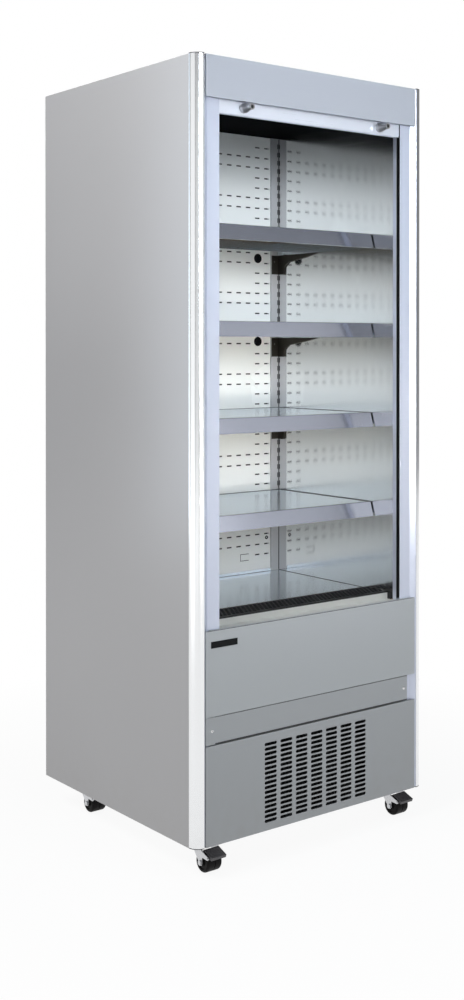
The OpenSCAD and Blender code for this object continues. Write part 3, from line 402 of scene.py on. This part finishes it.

# %% [markdown]
# ## Finish: shelves and price rails
# Shelves and deck are bright steel on top, where they mirror the back wall; the blue in their colour
# is painted reflection of the cool-lit wall. From below they are painted dull brown, as painted shade
# for the shaded undersides. Two materials would need their faces sorted by hand. Instead the direction
# of the surface picks the look: where it points down, the painted brown takes over and the metal goes.
# The specular level is zero for both, as metal has a gloss of its own and the dull painted underside
# has none. The price rails are a darker alloy with lines along their length.

# %% Shelves and rails
# Painted shade: a dull brown for the undersides of the shelves.
UNDERSIDE_SHADE_BROWN = (0.16, 0.125, 0.085, 1)
# The blue in this steel colour is painted reflection of the cool-lit back wall.
shelf_steel = metal("shelf_steel", (0.84, 0.92, 1.0), 0.16, (5, 900, 900), 0.08,
                    Specular_IOR_Level=0.0)
tree = shelf_steel.node_tree
sockets = tree.nodes["Principled BSDF"].inputs
normal = add_node(tree, "ShaderNodeNewGeometry").outputs["Normal"]
upwards = add_node(tree, "ShaderNodeSeparateXYZ", Vector=normal).outputs["Z"]
# Mask of painted shade: one where the surface points down.
shade_below = remap(tree, upwards, -0.9, -0.5, 1.0, 0.0)
bright = sockets["Base Color"].links[0].from_socket
tree.links.new(blend_colors(tree, shade_below, bright, UNDERSIDE_SHADE_BROWN), sockets["Base Color"])
for socket, above, below in (("Metallic", 0.9, 0.0), ("Roughness", 0.16, 1.0)):
    tree.links.new(remap(tree, shade_below, 0.0, 1.0, above, below), sockets[socket])
dress(shelf_steel, "shelf_1", "shelf_2", "shelf_3", "shelf_4", "deck_panel")
rail_alloy = metal("rail_alloy", (0.52, 0.55, 0.64), 0.15, (5, 1100, 1100), 0.10, Metallic=0.95)
dress(rail_alloy, "price_rails")

# %% [markdown]
# ## Finish: small fittings
# The screws are bright chrome, the pull knobs are brushed along their length, and the castors are
# bright zinc. The brake pedals are darker grey. Each could share one grey metal, but close up it is
# the difference in gloss that tells the parts apart.

# %% Fittings
bright_chrome = metal("bright_chrome", (0.78, 0.78, 0.79), 0.14, (700, 700, 700), 0.05,
                      Metallic=1.0)
dress(bright_chrome, "cover_screws")
knob_metal = metal("knob_metal", (0.46, 0.46, 0.47), 0.30, (900, 60, 900), 0.2,
                   relief=0.000005, Metallic=1.0)
dress(knob_metal, "blind_knobs")
castor_zinc = metal("castor_zinc", (0.62, 0.63, 0.65), 0.28, (260, 260, 260), 0.12,
                    dusty=0.25, Metallic=0.95)
dress(castor_zinc, "castor_plates", *[n for n in nodes if n.startswith("castor_fork")])
pedal_grey = finish("pedal_grey", powder, (0.07, 0.07, 0.08), 0.42, dusty=0.2, Metallic=0.6)
dress(pedal_grey, "brake_pedal_left", "brake_pedal_right")

# %% [markdown]
# ## Finish: zinc sheet, coil and pipes
# Back, base and other hidden sheets are galvanised steel with broad soft spangles. The tub behind the
# return grille stays almost black in the photo, so its zinc is painted almost black: painted shade for
# the unlit inside of the tub. Lamps kept out of the tub would do that too, but they would change with
# every view. The coil is dull aluminium and the pipes are copper, for views from behind or with sheets
# taken off.

# %% Sheets and pipes
zinc_sheet = metal("zinc_sheet", (0.50, 0.51, 0.53), 0.42, (45, 45, 30), 0.3,
                   dusty=0.3, Metallic=0.85)
dress(zinc_sheet, "base_pan", "back_panel", "roller_brackets", "drip_tray", "evaporator_fan_plate")
# Painted shade: the tub's zinc is near black for its unlit inside.
tub_shaded_zinc = metal("tub_shaded_zinc", (0.03, 0.03, 0.034), 0.5, (900, 900, 8), 0.1, Metallic=0.6)
dress(tub_shaded_zinc, "inner_tub")
coil_alloy = metal("coil_alloy", (0.50, 0.51, 0.52), 0.45, (200, 200, 2000), 0.2,
                   dusty=0.4, Metallic=0.8)
dress(coil_alloy, "evaporator")
pipe_copper = metal("pipe_copper", (0.66, 0.33, 0.20), 0.32, (300, 300, 300), 0.25, Metallic=1.0)
dress(pipe_copper, "refrigerant_pipes")

# %% [markdown]
# ## Finish: interior paint
# The perforated panel is white gloss paint that picks up every lamp. Uprights are grey, the sill a warm
# pale grey, and the ceiling so matt and black that no lamp shows in it. The brackets are zinc painted
# almost black olive, which is painted shade for the shade under the shelves. The condensing unit is
# black too; the compressor's black is its own paint, and on the condenser the black is painted shade,
# so that the slots read dark and only its ribs show through them. All of it is paint, so the powder
# coat effect serves for each.

# %% Interior paints
duct_white = finish("duct_white", powder, (0.90, 0.92, 0.90), 0.26, relief=0.00001)
dress(duct_white, "duct_panel")
upright_grey = finish("upright_grey", powder, (0.48, 0.49, 0.50), 0.35, Metallic=0.4)
dress(upright_grey, "shelf_uprights")
# Painted shade: the bracket zinc is near black for the shade under the shelves.
bracket_shaded_zinc = finish("bracket_shaded_zinc", powder, (0.05, 0.045, 0.036), 0.36, Metallic=0.6)
dress(bracket_shaded_zinc, "shelf_brackets")
ceiling_black = finish("ceiling_black", powder, (0.002, 0.0025, 0.003), 0.8,
                       Specular_IOR_Level=0.02)
dress(ceiling_black, "ceiling_panel")
sill_beige = finish("sill_beige", powder, (0.68, 0.68, 0.65), 0.38, Metallic=0.2)
dress(sill_beige, "sill_trim")
# Black paint on the compressor; on the condenser it is painted shade behind the vent slots.
shell_black_and_shade = finish("shell_black_and_shade", powder, (0.012, 0.013, 0.015), 0.45, dusty=0.2)
dress(shell_black_and_shade, "compressor", "control_box", "condenser_fan_shroud", "condenser")

# %% [markdown]
# ## Finish: plastic, rubber and foam
# Honeycombs, guides and fans are moulded black plastic, and the caps of the profiles are dark grey.
# The plugs and wheels are rubber, which is duller, and the badge is a bare black plate. The foam is
# hidden in the walls and could be left plain, but it still gets its own look for views with parts
# taken away.

# %% Plastics
black_plastic = finish("black_plastic", skin, (0.010, 0.010, 0.011), 0.42)
dress(black_plastic, "blind_guides", "discharge_grille", "return_grille",
      "cord_gland", "condenser_fan", "evaporator_fan_left", "evaporator_fan_right")
plug_rubber = finish("plug_rubber", skin, (0.004, 0.004, 0.005), 0.8, Specular_IOR_Level=0.1)
dress(plug_rubber, "duct_plugs")
cap_grey = finish("cap_grey", skin, (0.06, 0.06, 0.065), 0.5)
dress(cap_grey, "profile_caps")
wheel_rubber = finish("wheel_rubber", skin, (0.005, 0.005, 0.006), 0.45, dusty=0.04,
                      Specular_IOR_Level=0.1)
dress(wheel_rubber, *[n for n in nodes if n.startswith("castor_wheel")])
badge_black = finish("badge_black", skin, (0.004, 0.005, 0.006), 0.45, Specular_IOR_Level=0.15)
dress(badge_black, "badge_plate")
foam_cream = finish("foam_cream", skin, (0.80, 0.70, 0.42), 0.9, relief=0.0004,
                    effect_values={"Pebbles per metre": 500.0})
dress(foam_cream, "insulation")

# %% [markdown]
# ## Building pieces
# The details below are small meshes. They could be added by hand in the viewport, but then they would
# not follow the frame. Each is built as a bmesh, takes one material and rides on one body of the case.

# %% Piece helper
def add_piece(bm, name, material, body, smooth=False):
    """Turns a bmesh into a piece that rides on a body of the case."""
    mesh = bpy.data.meshes.new(name)
    bm.to_mesh(mesh)
    bm.free()
    for face in mesh.polygons:
        face.use_smooth = smooth
    mesh.materials.append(material)
    piece = bpy.data.objects.new(name, mesh)
    scene.collection.objects.link(piece)
    if body:
        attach(piece, body)
    return piece


print("piece helper ready")

# %% [markdown]
# ## Blind: the cloth between roller and bar
# Only a short stretch of the blind shows at rest, and it has to grow by more than a metre when the bar
# is pulled down. Many thin rows of faces make up the stretch. A shallow ripple keeps it from looking
# like a board.

# %% Blind cloth
CLOTH_ROWS = 48
CLOTH_COLUMNS = 60
RIPPLE = 0.0002
HALF_WAVES = 9
blind_white = finish("blind_white", weave, (0.80, 0.82, 0.86), 0.6, relief=0.00005)
cloth_low, cloth_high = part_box("blind_fabric")
cloth_y = (cloth_low.y + cloth_high.y) / 2
cloth_width = cloth_high.x - cloth_low.x
cloth_drop = cloth_high.z - cloth_low.z
bm = bmesh.new()
rows = []
for j in range(CLOTH_ROWS + 1):
    z = cloth_high.z - cloth_drop * j / CLOTH_ROWS
    row = []
    for i in range(CLOTH_COLUMNS + 1):
        x = cloth_low.x + cloth_width * i / CLOTH_COLUMNS
        ripple = RIPPLE * math.sin(HALF_WAVES * math.pi * i / CLOTH_COLUMNS)
        row.append(bm.verts.new((x, cloth_y + ripple, z)))
    rows.append(row)
for upper, lower in zip(rows, rows[1:]):
    for i in range(CLOTH_COLUMNS):
        bm.faces.new((upper[i], lower[i], lower[i + 1], upper[i + 1]))
blind_cloth = add_piece(bm, "blind_cloth", blind_white, None, smooth=True)
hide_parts("blind_fabric")
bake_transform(blind_cloth)
print("blind cloth", round(cloth_width, 3), "by", round(cloth_drop, 3), "m")

# %% [markdown]
# ## Blind: the wound cloth
# The solid roller is a plain cylinder. The real one has the cloth wound on it, which shows as a spiral
# at both ends. Rings of growing size would look alike from the front but not from the end. One long
# strip of faces that grows outwards as it turns is the spiral itself.

# %% Wound cloth
roll_low, roll_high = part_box("blind_roller")
roll_y = (roll_low.y + roll_high.y) / 2
roll_z = (roll_low.z + roll_high.z) / 2
ROLL_RADIUS = (roll_high.z - roll_low.z) / 2
TUBE_RADIUS = 0.014
TURNS = 12
STEPS = 32
bm = bmesh.new()
spiral = []
for k in range(TURNS * STEPS + 1):
    turn = 2 * math.pi * k / STEPS
    radius = TUBE_RADIUS + (ROLL_RADIUS - TUBE_RADIUS) * k / (TURNS * STEPS)
    y = roll_y - radius * math.cos(turn)
    z = roll_z - radius * math.sin(turn)
    spiral.append([bm.verts.new((x, y, z)) for x in (-cloth_width / 2, cloth_width / 2)])
for a, b in zip(spiral, spiral[1:]):
    bm.faces.new((a[0], a[1], b[1], b[0]))
wound_cloth = add_piece(bm, "wound_cloth", blind_white, "blind_roller", smooth=True)
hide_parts("blind_roller")
print("roll radius", round(ROLL_RADIUS, 4), "with", TURNS, "turns")

# %% [markdown]
# ## Blind: the roller tube
# Inside the cloth is a steel tube with a thin pin at each end, held by the roller brackets. It could
# be left out as hidden, but its ends show when the blind is looked at from the side. Half of its
# outline is written down, mirrored and turned, as on a lathe.

# %% Roller tube
def lathe(bm, outline, origin, axis, steps=32):
    """Turns an outline of (radius, distance) pairs around an axis that starts at origin."""
    along = Vector(axis).normalized()
    side = along.orthogonal().normalized()
    rings = []
    for k in range(steps):
        arm = Matrix.Rotation(2 * math.pi * k / steps, 3, along) @ side
        rings.append([bm.verts.new(Vector(origin) + arm * r + along * d) for r, d in outline])
    for k in range(steps):
        a, b = rings[k], rings[(k + 1) % steps]
        for i in range(len(outline) - 1):
            bm.faces.new((a[i], b[i], b[i + 1], a[i + 1]))
    bmesh.ops.remove_doubles(bm, verts=bm.verts, dist=1e-6)
    bmesh.ops.recalc_face_normals(bm, faces=bm.faces)


PIN_RADIUS = 0.004
PIN_LENGTH = 0.008
BEVEL = 0.001
tube_length = roll_high.x - roll_low.x
outline = [(0, 0), (PIN_RADIUS, 0), (PIN_RADIUS, PIN_LENGTH), (TUBE_RADIUS - 2 * BEVEL, PIN_LENGTH),
           (TUBE_RADIUS - BEVEL, PIN_LENGTH + 2 * BEVEL)]
outline += [(r, tube_length - d) for r, d in reversed(outline)]
bm = bmesh.new()
lathe(bm, outline, (roll_low.x, roll_y, roll_z), (1, 0, 0))
add_piece(bm, "roller_tube", zinc_sheet, "blind_roller")
print("tube", round(tube_length, 3), "m long")

# %% [markdown]
# ## Blind: cores of the pull knobs
# Each knob is a metal sleeve with a black rubber core, which shows as a dark dot from the front. A
# painted dot would be flat. The solid has the bore for the core, so the core is turned on a lathe, with
# a shallow dish in its face.

# %% Knob cores
knob_low, knob_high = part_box("blind_knobs")
KNOB_RADIUS = (knob_high.z - knob_low.z) / 2
TIP_SHARE = 0.64
BORE_SHARE = 0.66
CORE_CLEAR = 0.0002
CORE_END = 0.0069
core_radius = KNOB_RADIUS * TIP_SHARE * BORE_SHARE
rim = core_radius - CORE_CLEAR
outline = [(0, 0.0030), (core_radius * 0.5, 0.0028), (core_radius * 0.62, 0.0012), (rim, 0.0008),
           (rim, CORE_END), (0, CORE_END)]
knob_x = knob_high.x - KNOB_RADIUS
bm = bmesh.new()
for x in (-knob_x, knob_x):
    lathe(bm, outline, (x, knob_low.y, (knob_low.z + knob_high.z) / 2), (0, 1, 0), 24)
add_piece(bm, "knob_cores", black_plastic, "blind_bar", smooth=True)
print("knob cores at x", round(knob_x, 4), "radius", round(core_radius, 4))

# %% [markdown]
# ## Back wall: fixings
# The perforated panel is held by screws in black cup washers, low down beside the uprights. Discs
# would do from far away, but a cup washer has a raised round rim that catches the light. Washer and
# screw are two outlines, turned on a lathe.

# %% Panel fixings
duct_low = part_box("duct_panel")[0]
SCREW_X = 0.256
SCREW_Z = 0.698
CUP = [(0.0028, 0), (0.0055, 0), (0.0052, 0.0012), (0.0040, 0.0020), (0.0030, 0.0014), (0.0028, 0)]
HEAD = [(0, 0.0014), (0.0016, 0.0013), (0.0027, 0.0008), (0.0027, 0)]
for name, outline, steps, material, slot in (
    ("cup_washers", CUP, 28, black_plastic, "black_plastic"),
    ("panel_screws", HEAD, 20, bright_chrome, "bright_metal"),
):
    bm = bmesh.new()
    for x in (-SCREW_X, SCREW_X):
        lathe(bm, outline, (x, duct_low.y, SCREW_Z), (0, -1, 0), steps)
    add_piece(bm, name, material, "cabinet", smooth=True)
print("fixings at x", SCREW_X, "z", SCREW_Z)

# %% [markdown]
# ## Straight strips
# Seams, beads and trims are thin straight strips. Cubes that are moved and scaled would do, but their
# sizes would be hard to read. Here a strip is given by its span along each axis, and any other outline
# can be pushed along a line to a closed shape with a real thickness.

# %% Strip helpers
def prism(bm, outline, shift):
    """A closed prism from a list of corner points, pushed along a vector."""
    near = [bm.verts.new(p) for p in outline]
    far = [bm.verts.new(Vector(p) + Vector(shift)) for p in outline]
    count = len(outline)
    bm.faces.new(near)
    bm.faces.new(far[::-1])
    for i in range(count):
        bm.faces.new((near[i], far[i], far[(i + 1) % count], near[(i + 1) % count]))
    bmesh.ops.recalc_face_normals(bm, faces=bm.faces)


def strip(bm, x, y, z):
    """A straight strip, from the two ends of its span along each axis."""
    outline = [(x[0], y[0], z[0]), (x[1], y[0], z[0]), (x[1], y[1], z[0]), (x[0], y[1], z[0])]
    prism(bm, outline, (0, 0, z[1] - z[0]))


print("strip helpers ready")

# %% [markdown]
# ## Back wall: pressed tabs
# Further in the panel has two tabs, cut on three sides, that show as dark brackets. Real cuts could be
# made in the sheet's solid, but they are so fine that thin black strips on the sheet, painted shade for
# the dark cuts, look the same, and the sheet stays whole.

# %% Tab cuts
TAB_X = (0.159, 0.190)
TAB_Z = (0.637, 0.657)
CUT = 0.0016
RAISE = 0.0001
# Painted shade: black strips where the tabs are cut.
bm = bmesh.new()
for side in (-1, 1):
    for x0, x1, z in (
        (TAB_X[0], TAB_X[0] + CUT, TAB_Z),
        (TAB_X[0], TAB_X[1], (TAB_Z[1] - CUT, TAB_Z[1])),
        (TAB_X[0], TAB_X[1], (TAB_Z[0], TAB_Z[0] + CUT)),
    ):
        strip(bm, (side * x0, side * x1), (duct_low.y - RAISE, duct_low.y), z)
add_piece(bm, "tab_cut_shade", black_plastic, "cabinet")
print("tabs at z", TAB_Z)

# %% [markdown]
# ## Deck: sealant bead
# A thin dark line runs round the deck where it meets the side liners and its upstand. On the real case
# that is a bead of sealant. It could be a flat line, but a quarter-round strip in the corner catches
# the light like one.

# %% Deck bead
deck_low, deck_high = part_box("deck_panel")
BEAD = 0.0009
ARC_STEPS = 4
SEAT_GAP = 0.0003
UPSTAND = 0.0014
FRONT_END = 0.002
UPRIGHT_CLEAR = 0.032


def bead_strip(bm, start, end, inwards):
    """A quarter-round strip from start to end, with its round side towards inwards and up."""
    inwards, up = Vector(inwards), Vector((0, 0, 1))
    arcs = []
    for point in (Vector(start), Vector(end)):
        arc = [bm.verts.new(point)]
        for k in range(ARC_STEPS + 1):
            angle = math.pi / 2 * k / ARC_STEPS
            arc.append(bm.verts.new(point + BEAD * (math.cos(angle) * inwards + math.sin(angle) * up)))
        arcs.append(arc)
    near, far = arcs
    bm.faces.new(near)
    bm.faces.new(far[::-1])
    for i in range(len(near)):
        k = (i + 1) % len(near)
        bm.faces.new((near[i], far[i], far[k], near[k]))


bm = bmesh.new()
bead_z = duct_low.z - SEAT_GAP
rear_y = deck_high.y - UPSTAND
for side in (-1, 1):
    x = side * deck_high.x
    bead_strip(bm, (x, deck_low.y + FRONT_END, bead_z), (x, rear_y, bead_z), (-side, 0, 0))
rear_x = deck_high.x - UPRIGHT_CLEAR
bead_strip(bm, (-rear_x, rear_y, bead_z), (rear_x, rear_y, bead_z), (0, -1, 0))
bmesh.ops.recalc_face_normals(bm, faces=bm.faces)
add_piece(bm, "deck_bead", black_plastic, "cabinet")
print("bead along", round(2 * rear_x, 3), "m at the rear")

# %% [markdown]
# ## Shelves: painted shade along the edges
# A thin dark line runs round each shelf, also between the shelf and its price rail, where the
# gaps lie in shade. It could be a groove or a rubber edge. A low black strip on the shelf's rim is
# painted shade for that line, and shows it from above and from the front.

# %% Shelf shade trim
SHELF_LEVELS = (1, 2, 3, 4)
TRIM_WIDTH = 0.0022
TRIM_RISE = 0.0007
LIFT = 0.0001
SIDE_INSET = 0.0004
FRONT_REACH = 0.0005
# Painted shade: black strips along each shelf's front, back and sides.
bm = bmesh.new()
for level in SHELF_LEVELS:
    low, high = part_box(f"shelf_{level}")
    x, front, back = high.x - SIDE_INSET, low.y - FRONT_REACH, high.y - SIDE_INSET
    z = (high.z + LIFT, high.z + LIFT + TRIM_RISE)
    for y in ((front, front + TRIM_WIDTH), (back - TRIM_WIDTH, back)):
        strip(bm, (-x, x), y, z)
    for side in (-1, 1):
        strip(bm, (side * (x - TRIM_WIDTH), side * x), (front, back), z)
add_piece(bm, "shelf_shade_trim", black_plastic, "cabinet")
print("trim", TRIM_WIDTH * 1000, "mm wide round", len(SHELF_LEVELS), "shelves")

# %% [markdown]
# ## Shelf uprights: corner bead and dark slots
# The slots in the uprights open into an unlit cavity. In the bright liner each slot appears twice,
# which makes one broad dark column. A darker upright would lose its grey face. So black strips are
# painted shade: one behind the web stands for the cavity, and a narrow one in the corner in front,
# shaped like a bead between upright and liner, fills the column between the slots and their mirror
# images.

# %% Upright shade strips
upright_low, upright_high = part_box("shelf_uprights")
# Painted shade: a narrow black strip in the corner between upright and liner.
CORNER_SHADE = {"width": 0.0012, "y": (-0.0008, 0.0)}
# Painted shade: a black strip behind the slots for the unlit cavity.
SLOT_SHADE = {"width": 0.0070, "y": (0.00215, 0.0024)}
END_CLEAR = 0.001
bm = bmesh.new()
for side in (-1, 1):
    for shape in (CORNER_SHADE, SLOT_SHADE):
        strip(bm, (side * (upright_high.x - shape["width"]), side * upright_high.x),
              [upright_low.y + y for y in shape["y"]],
              (upright_low.z + END_CLEAR, upright_high.z - END_CLEAR))
add_piece(bm, "upright_shade_strips", black_plastic, "cabinet")
print("bead on two uprights,", round(upright_high.z - upright_low.z, 3), "m high")

# %% [markdown]
# ## Front: dark seams
# The gaps between the front sheets are only a few tenths of a millimetre in the solids. In the photo
# the one above the ventilated panel is a strong black line, and finer ones run along the upper edges
# of the cover strip and of the lower front panel. Wider gaps would show that too, but they would move
# the sheets. So thin black strips, hardly raised, are painted shade for the shadowed gaps.

# %% Seam strips
strip_low, strip_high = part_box("cover_strip")
lower_low, lower_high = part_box("lower_front_panel")
VENT_SEAM = 0.0026
COVER_SEAM = 0.0008
SILL_SEAM = 0.0012
SILL_END = 0.004
# Painted shade: black strips along the seams.
bm = bmesh.new()
for x, y, z in (
    (strip_high.x, strip_low.y, (strip_low.z, strip_low.z + VENT_SEAM)),
    (strip_high.x, strip_low.y, (strip_high.z - COVER_SEAM, strip_high.z)),
    (lower_high.x - SILL_END, lower_low.y, (lower_high.z - SILL_SEAM, lower_high.z)),
):
    strip(bm, (-x, x), (y - RAISE, y), z)
add_piece(bm, "seam_shade_strips", black_plastic, "cabinet")
print("seam strips at z", round(strip_low.z, 3), round(strip_high.z, 3), round(lower_high.z, 3))

# %% [markdown]
# ## Castors: tread ribs on the brake pedals
# The pedal plates are ribbed so that a shoe grips them. A bump could show that from above but not from
# the side. The plate slopes down to the front, so the ribs are laid out in the plate's own plane,
# measured from the pedal's pin, and then turned with it.

# %% Pedal ribs
PEDAL_SLOPE = math.radians(20)
PEDAL_FRONT = -0.0124
PEDAL_TOP = 0.0088
PIN_Y, PIN_Z = -0.2965, 0.042
RIBS = 6
RIB_PITCH = 0.0048
RIB_HEIGHT = 0.0006
END_INSET = 0.003
slope_turn = Matrix.Rotation(PEDAL_SLOPE, 3, "X")
for side in ("left", "right"):
    low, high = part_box(f"brake_pedal_{side}")
    bm = bmesh.new()
    for k in range(RIBS):
        y = PEDAL_FRONT + END_INSET + k * RIB_PITCH
        top = PEDAL_TOP + RIB_HEIGHT
        section = [(y, PEDAL_TOP), (y + 0.0018, PEDAL_TOP), (y + 0.0014, top), (y + 0.0004, top)]
        turned = [slope_turn @ Vector((0, py, pz)) for py, pz in section]
        points = [(low.x + END_INSET, PIN_Y + t.y, PIN_Z + t.z) for t in turned]
        prism(bm, points, (high.x - low.x - 2 * END_INSET, 0, 0))
    add_piece(bm, f"pedal_ribs_{side}", pedal_grey, f"pedal_{side}")
print(RIBS, "ribs on each pedal")

# %% [markdown]
# ## Back: louvre lips
# The air slots in the back sheet are pressed louvres: each has a lip that is bent inwards from its
# upper edge, so that nothing falls straight in. Lips outwards would stand out of the case's box. Each
# lip is a short curved strip with its real sheet thickness.

# %% Louvre lips
back_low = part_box("back_panel")[0]
LOUVRE_X = (-0.110, 0.110)
LOUVRE_LENGTH = 0.120
LOUVRE_PITCH = 0.020
LOUVRE_ROWS = 8
LIP_SHEET = 0.001
LIP_BEND = 0.008
LIP_ANGLE = math.radians(75)
LIP_STEPS = 5
FIRST_SLOT_TOP = 0.151
bm = bmesh.new()
for x in LOUVRE_X:
    for k in range(LOUVRE_ROWS):
        top_z = FIRST_SLOT_TOP + LOUVRE_PITCH * k
        outer, inner = [], []
        for step in range(LIP_STEPS + 1):
            angle = LIP_ANGLE * step / LIP_STEPS
            for bend, points in ((LIP_BEND, outer), (LIP_BEND - LIP_SHEET, inner)):
                points.append((x - LOUVRE_LENGTH / 2, back_low.y - bend * math.sin(angle),
                               top_z - LIP_BEND + bend * math.cos(angle)))
        prism(bm, outer + inner[::-1], (LOUVRE_LENGTH, 0, 0))
add_piece(bm, "louvre_lips", zinc_sheet, "cabinet")
print(LOUVRE_ROWS * len(LOUVRE_X), "louvres")

# %% [markdown]
# ## Fasteners: cross recesses
# The pan heads of the cover strip's screws are plain in the solids. A real recess could be cut into
# each head, but a small black cross on it, painted shade for the recess, is all that a recess shows at
# this size.

# %% Screw recesses
screw_low, screw_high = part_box("cover_screws")
HEAD_RADIUS = (screw_high.z - screw_low.z) / 2
CROSS = 0.0036
ARM = 0.0007
RECESS_Y = (-0.00006, 0.00002)
screw_z = (screw_low.z + screw_high.z) / 2
# Painted shade: a black cross for each recess.
bm = bmesh.new()
for x in (screw_low.x + HEAD_RADIUS, screw_high.x - HEAD_RADIUS):
    for w, h in ((CROSS, ARM), (ARM, CROSS)):
        strip(bm, (x - w / 2, x + w / 2), [screw_low.y + y for y in RECESS_Y],
              (screw_z - h / 2, screw_z + h / 2))
add_piece(bm, "screw_recess_shade", black_plastic, "cabinet")
print("screw heads", round(HEAD_RADIUS * 2000, 1), "mm across")

# %% [markdown]
# ## Studio: the world
# The photograph has a plain white surround. A bright world could light everything at once, but it
# would wash out the paint and leave the metal flat. So the world is white only to the camera, and
# through anything clear. To reflections it is a dim grey, so that the cards shape the metal, and to
# everything else a weak fill.

# %% World
world = bpy.data.worlds.new("studio")
scene.world = world
world.use_nodes = True
tree = world.node_tree
tree.nodes.clear()
path = add_node(tree, "ShaderNodeLightPath").outputs
seen = math_node(tree, "MAXIMUM", path["Is Camera Ray"], path["Is Transmission Ray"])
plain = add_node(tree, "ShaderNodeBackground", Color=(1, 1, 1, 1), Strength=1.0)
glossy = add_node(tree, "ShaderNodeBackground", Color=(0.96, 0.97, 1.0, 1), Strength=0.24)
soft = add_node(tree, "ShaderNodeBackground", Color=(0.95, 0.97, 1.0, 1), Strength=0.12)
lit = add_node(tree, "ShaderNodeMixShader", _0=path["Is Glossy Ray"],
               _1=soft.outputs[0], _2=glossy.outputs[0])
both = add_node(tree, "ShaderNodeMixShader", _0=seen, _1=lit.outputs[0], _2=plain.outputs[0])
add_node(tree, "ShaderNodeOutputWorld", Surface=both.outputs[0])
print("world ready")

# %% [markdown]
# ## Studio: the floor
# A white floor alone would show a horizon, and a floor that only glows would lose the shadow. This one
# does both: it keeps a soft shadow of the case close by and turns to plain white further out. What it
# throws back at the case is a darker grey, so the sheets don't get lit from below.

# %% Floor
FLOOR_RADIUS = 9.0
SHADOW_START = 0.4
SHADOW_END = 1.6
floor_paint = bpy.data.materials.new("floor_paint")
floor_paint.use_nodes = True
tree = floor_paint.node_tree
tree.nodes.clear()
place = add_node(tree, "ShaderNodeTexCoord").outputs["Object"]
away = add_node(tree, "ShaderNodeVectorMath", {"operation": "LENGTH"}, _0=place).outputs["Value"]
far = remap(tree, away, SHADOW_START, SHADOW_END, 0.92, 1.0)
path = add_node(tree, "ShaderNodeLightPath").outputs
seen = math_node(tree, "MAXIMUM", path["Is Camera Ray"], path["Is Glossy Ray"])
bounce = blend_colors(tree, seen, (0.30, 0.29, 0.28, 1), (0.95, 0.95, 0.95, 1))
matt = add_node(tree, "ShaderNodeBsdfDiffuse", Color=bounce)
white = add_node(tree, "ShaderNodeEmission", Color=(1, 1, 1, 1), Strength=1.0)
both = add_node(tree, "ShaderNodeMixShader", _0=math_node(tree, "MULTIPLY", far, seen),
                _1=matt.outputs[0], _2=white.outputs[0])
add_node(tree, "ShaderNodeOutputMaterial", Surface=both.outputs[0])
bm = bmesh.new()
bmesh.ops.create_circle(bm, cap_ends=True, segments=96, radius=FLOOR_RADIUS)
floor_mesh = bpy.data.meshes.new("floor")
bm.to_mesh(floor_mesh)
bm.free()
floor_mesh.materials.append(floor_paint)
floor = bpy.data.objects.new("floor", floor_mesh)
scene.collection.objects.link(floor)
print("floor radius", FLOOR_RADIUS, "m")

# %% [markdown]
# ## Lamps
# The back wall is brightest in the upper bays, cool just above each shelf and warm below the next one.
# That tells where the light comes from: a cool light high in front reaches the lower half of each bay,
# and a weak warm one from below reaches the upper half. Both are narrow, to stay off the front sheets,
# and both show in metal, because the bright liners throw them back at the wall. A broad cool light
# from above takes the front sheets, and one from the left takes the top of the side sheet.

# %% Lamps
def softbox(name, place, target, size, power, color=(1, 1, 1), mirrored=True, spread=180):
    """A rectangular area lamp that points at a target."""
    data = bpy.data.lights.new(name, "AREA")
    data.shape = "RECTANGLE"
    data.size, data.size_y = size
    data.energy = power
    data.color = color
    data.spread = math.radians(spread)
    lamp = bpy.data.objects.new(name, data)
    lamp.location = place
    lamp.rotation_euler = (Vector(target) - Vector(place)).to_track_quat("-Z", "Y").to_euler()
    lamp.visible_camera = False
    lamp.visible_glossy = mirrored
    scene.collection.objects.link(lamp)
    print(name, power, "W, spread", spread)
    return lamp


COOL = (0.88, 0.94, 1.0)
WARM = (1.0, 0.94, 0.86)
SKY = (0.78, 0.89, 1.0)
softbox("front_key", (-0.4, -3.6, 2.1), (0.12, 0.27, 1.46), (1.8, 1.3), 5.6, COOL, spread=34)
softbox("high_front", (0.0, -2.4, 3.8), (0, -0.3, 1.6), (1.6, 1.4), 38, SKY, mirrored=False)
softbox("warm_low", (-0.1, -3.0, 0.75), (0.10, 0.27, 1.12), (0.6, 0.3), 0.66, WARM, spread=20)
softbox("left_lamp", (-2.9, -0.5, 3.6), (-0.37, -0.1, 2.0), (1.6, 1.2), 30,
        mirrored=False, spread=80)

# %% [markdown]
# ## Cards
# Metal shows what stands around it, so it needs something to reflect. A brighter world would do, but
# it has no edges. Large weak lamps, called cards, do: one in front, two at the left for the rounded
# corner and the side sheet, a narrow one close to the side sheet, and a leaning one at the right,
# whose slanted edge shows in the price rails.

# %% Cards
ICE = (0.80, 0.90, 1.0)
softbox("front_card", (0.45, -3.6, 1.4), (0, 0, 1.4), (4.0, 2.6), 16)
rail_card = softbox("rail_card", (2.0, -2.65, 2.3), (2.0, 0, 2.3), (1.38, 1.9), 3.3)
rail_card.rotation_euler = (math.radians(90), math.radians(13.5), 0)
softbox("left_front_card", (-3.3, -3.6, 1.4), (-0.37, -0.33, 1.2), (2.4, 3.0), 12)
softbox("left_card", (-3.4, -0.3, 1.4), (-0.37, -0.3, 1.2), (3.0, 3.0), 24)
softbox("side_card", (-0.98, 0.30, 1.5), (-0.39, -0.50, 1.5), (0.3, 1.6), 0.28, ICE, spread=50)
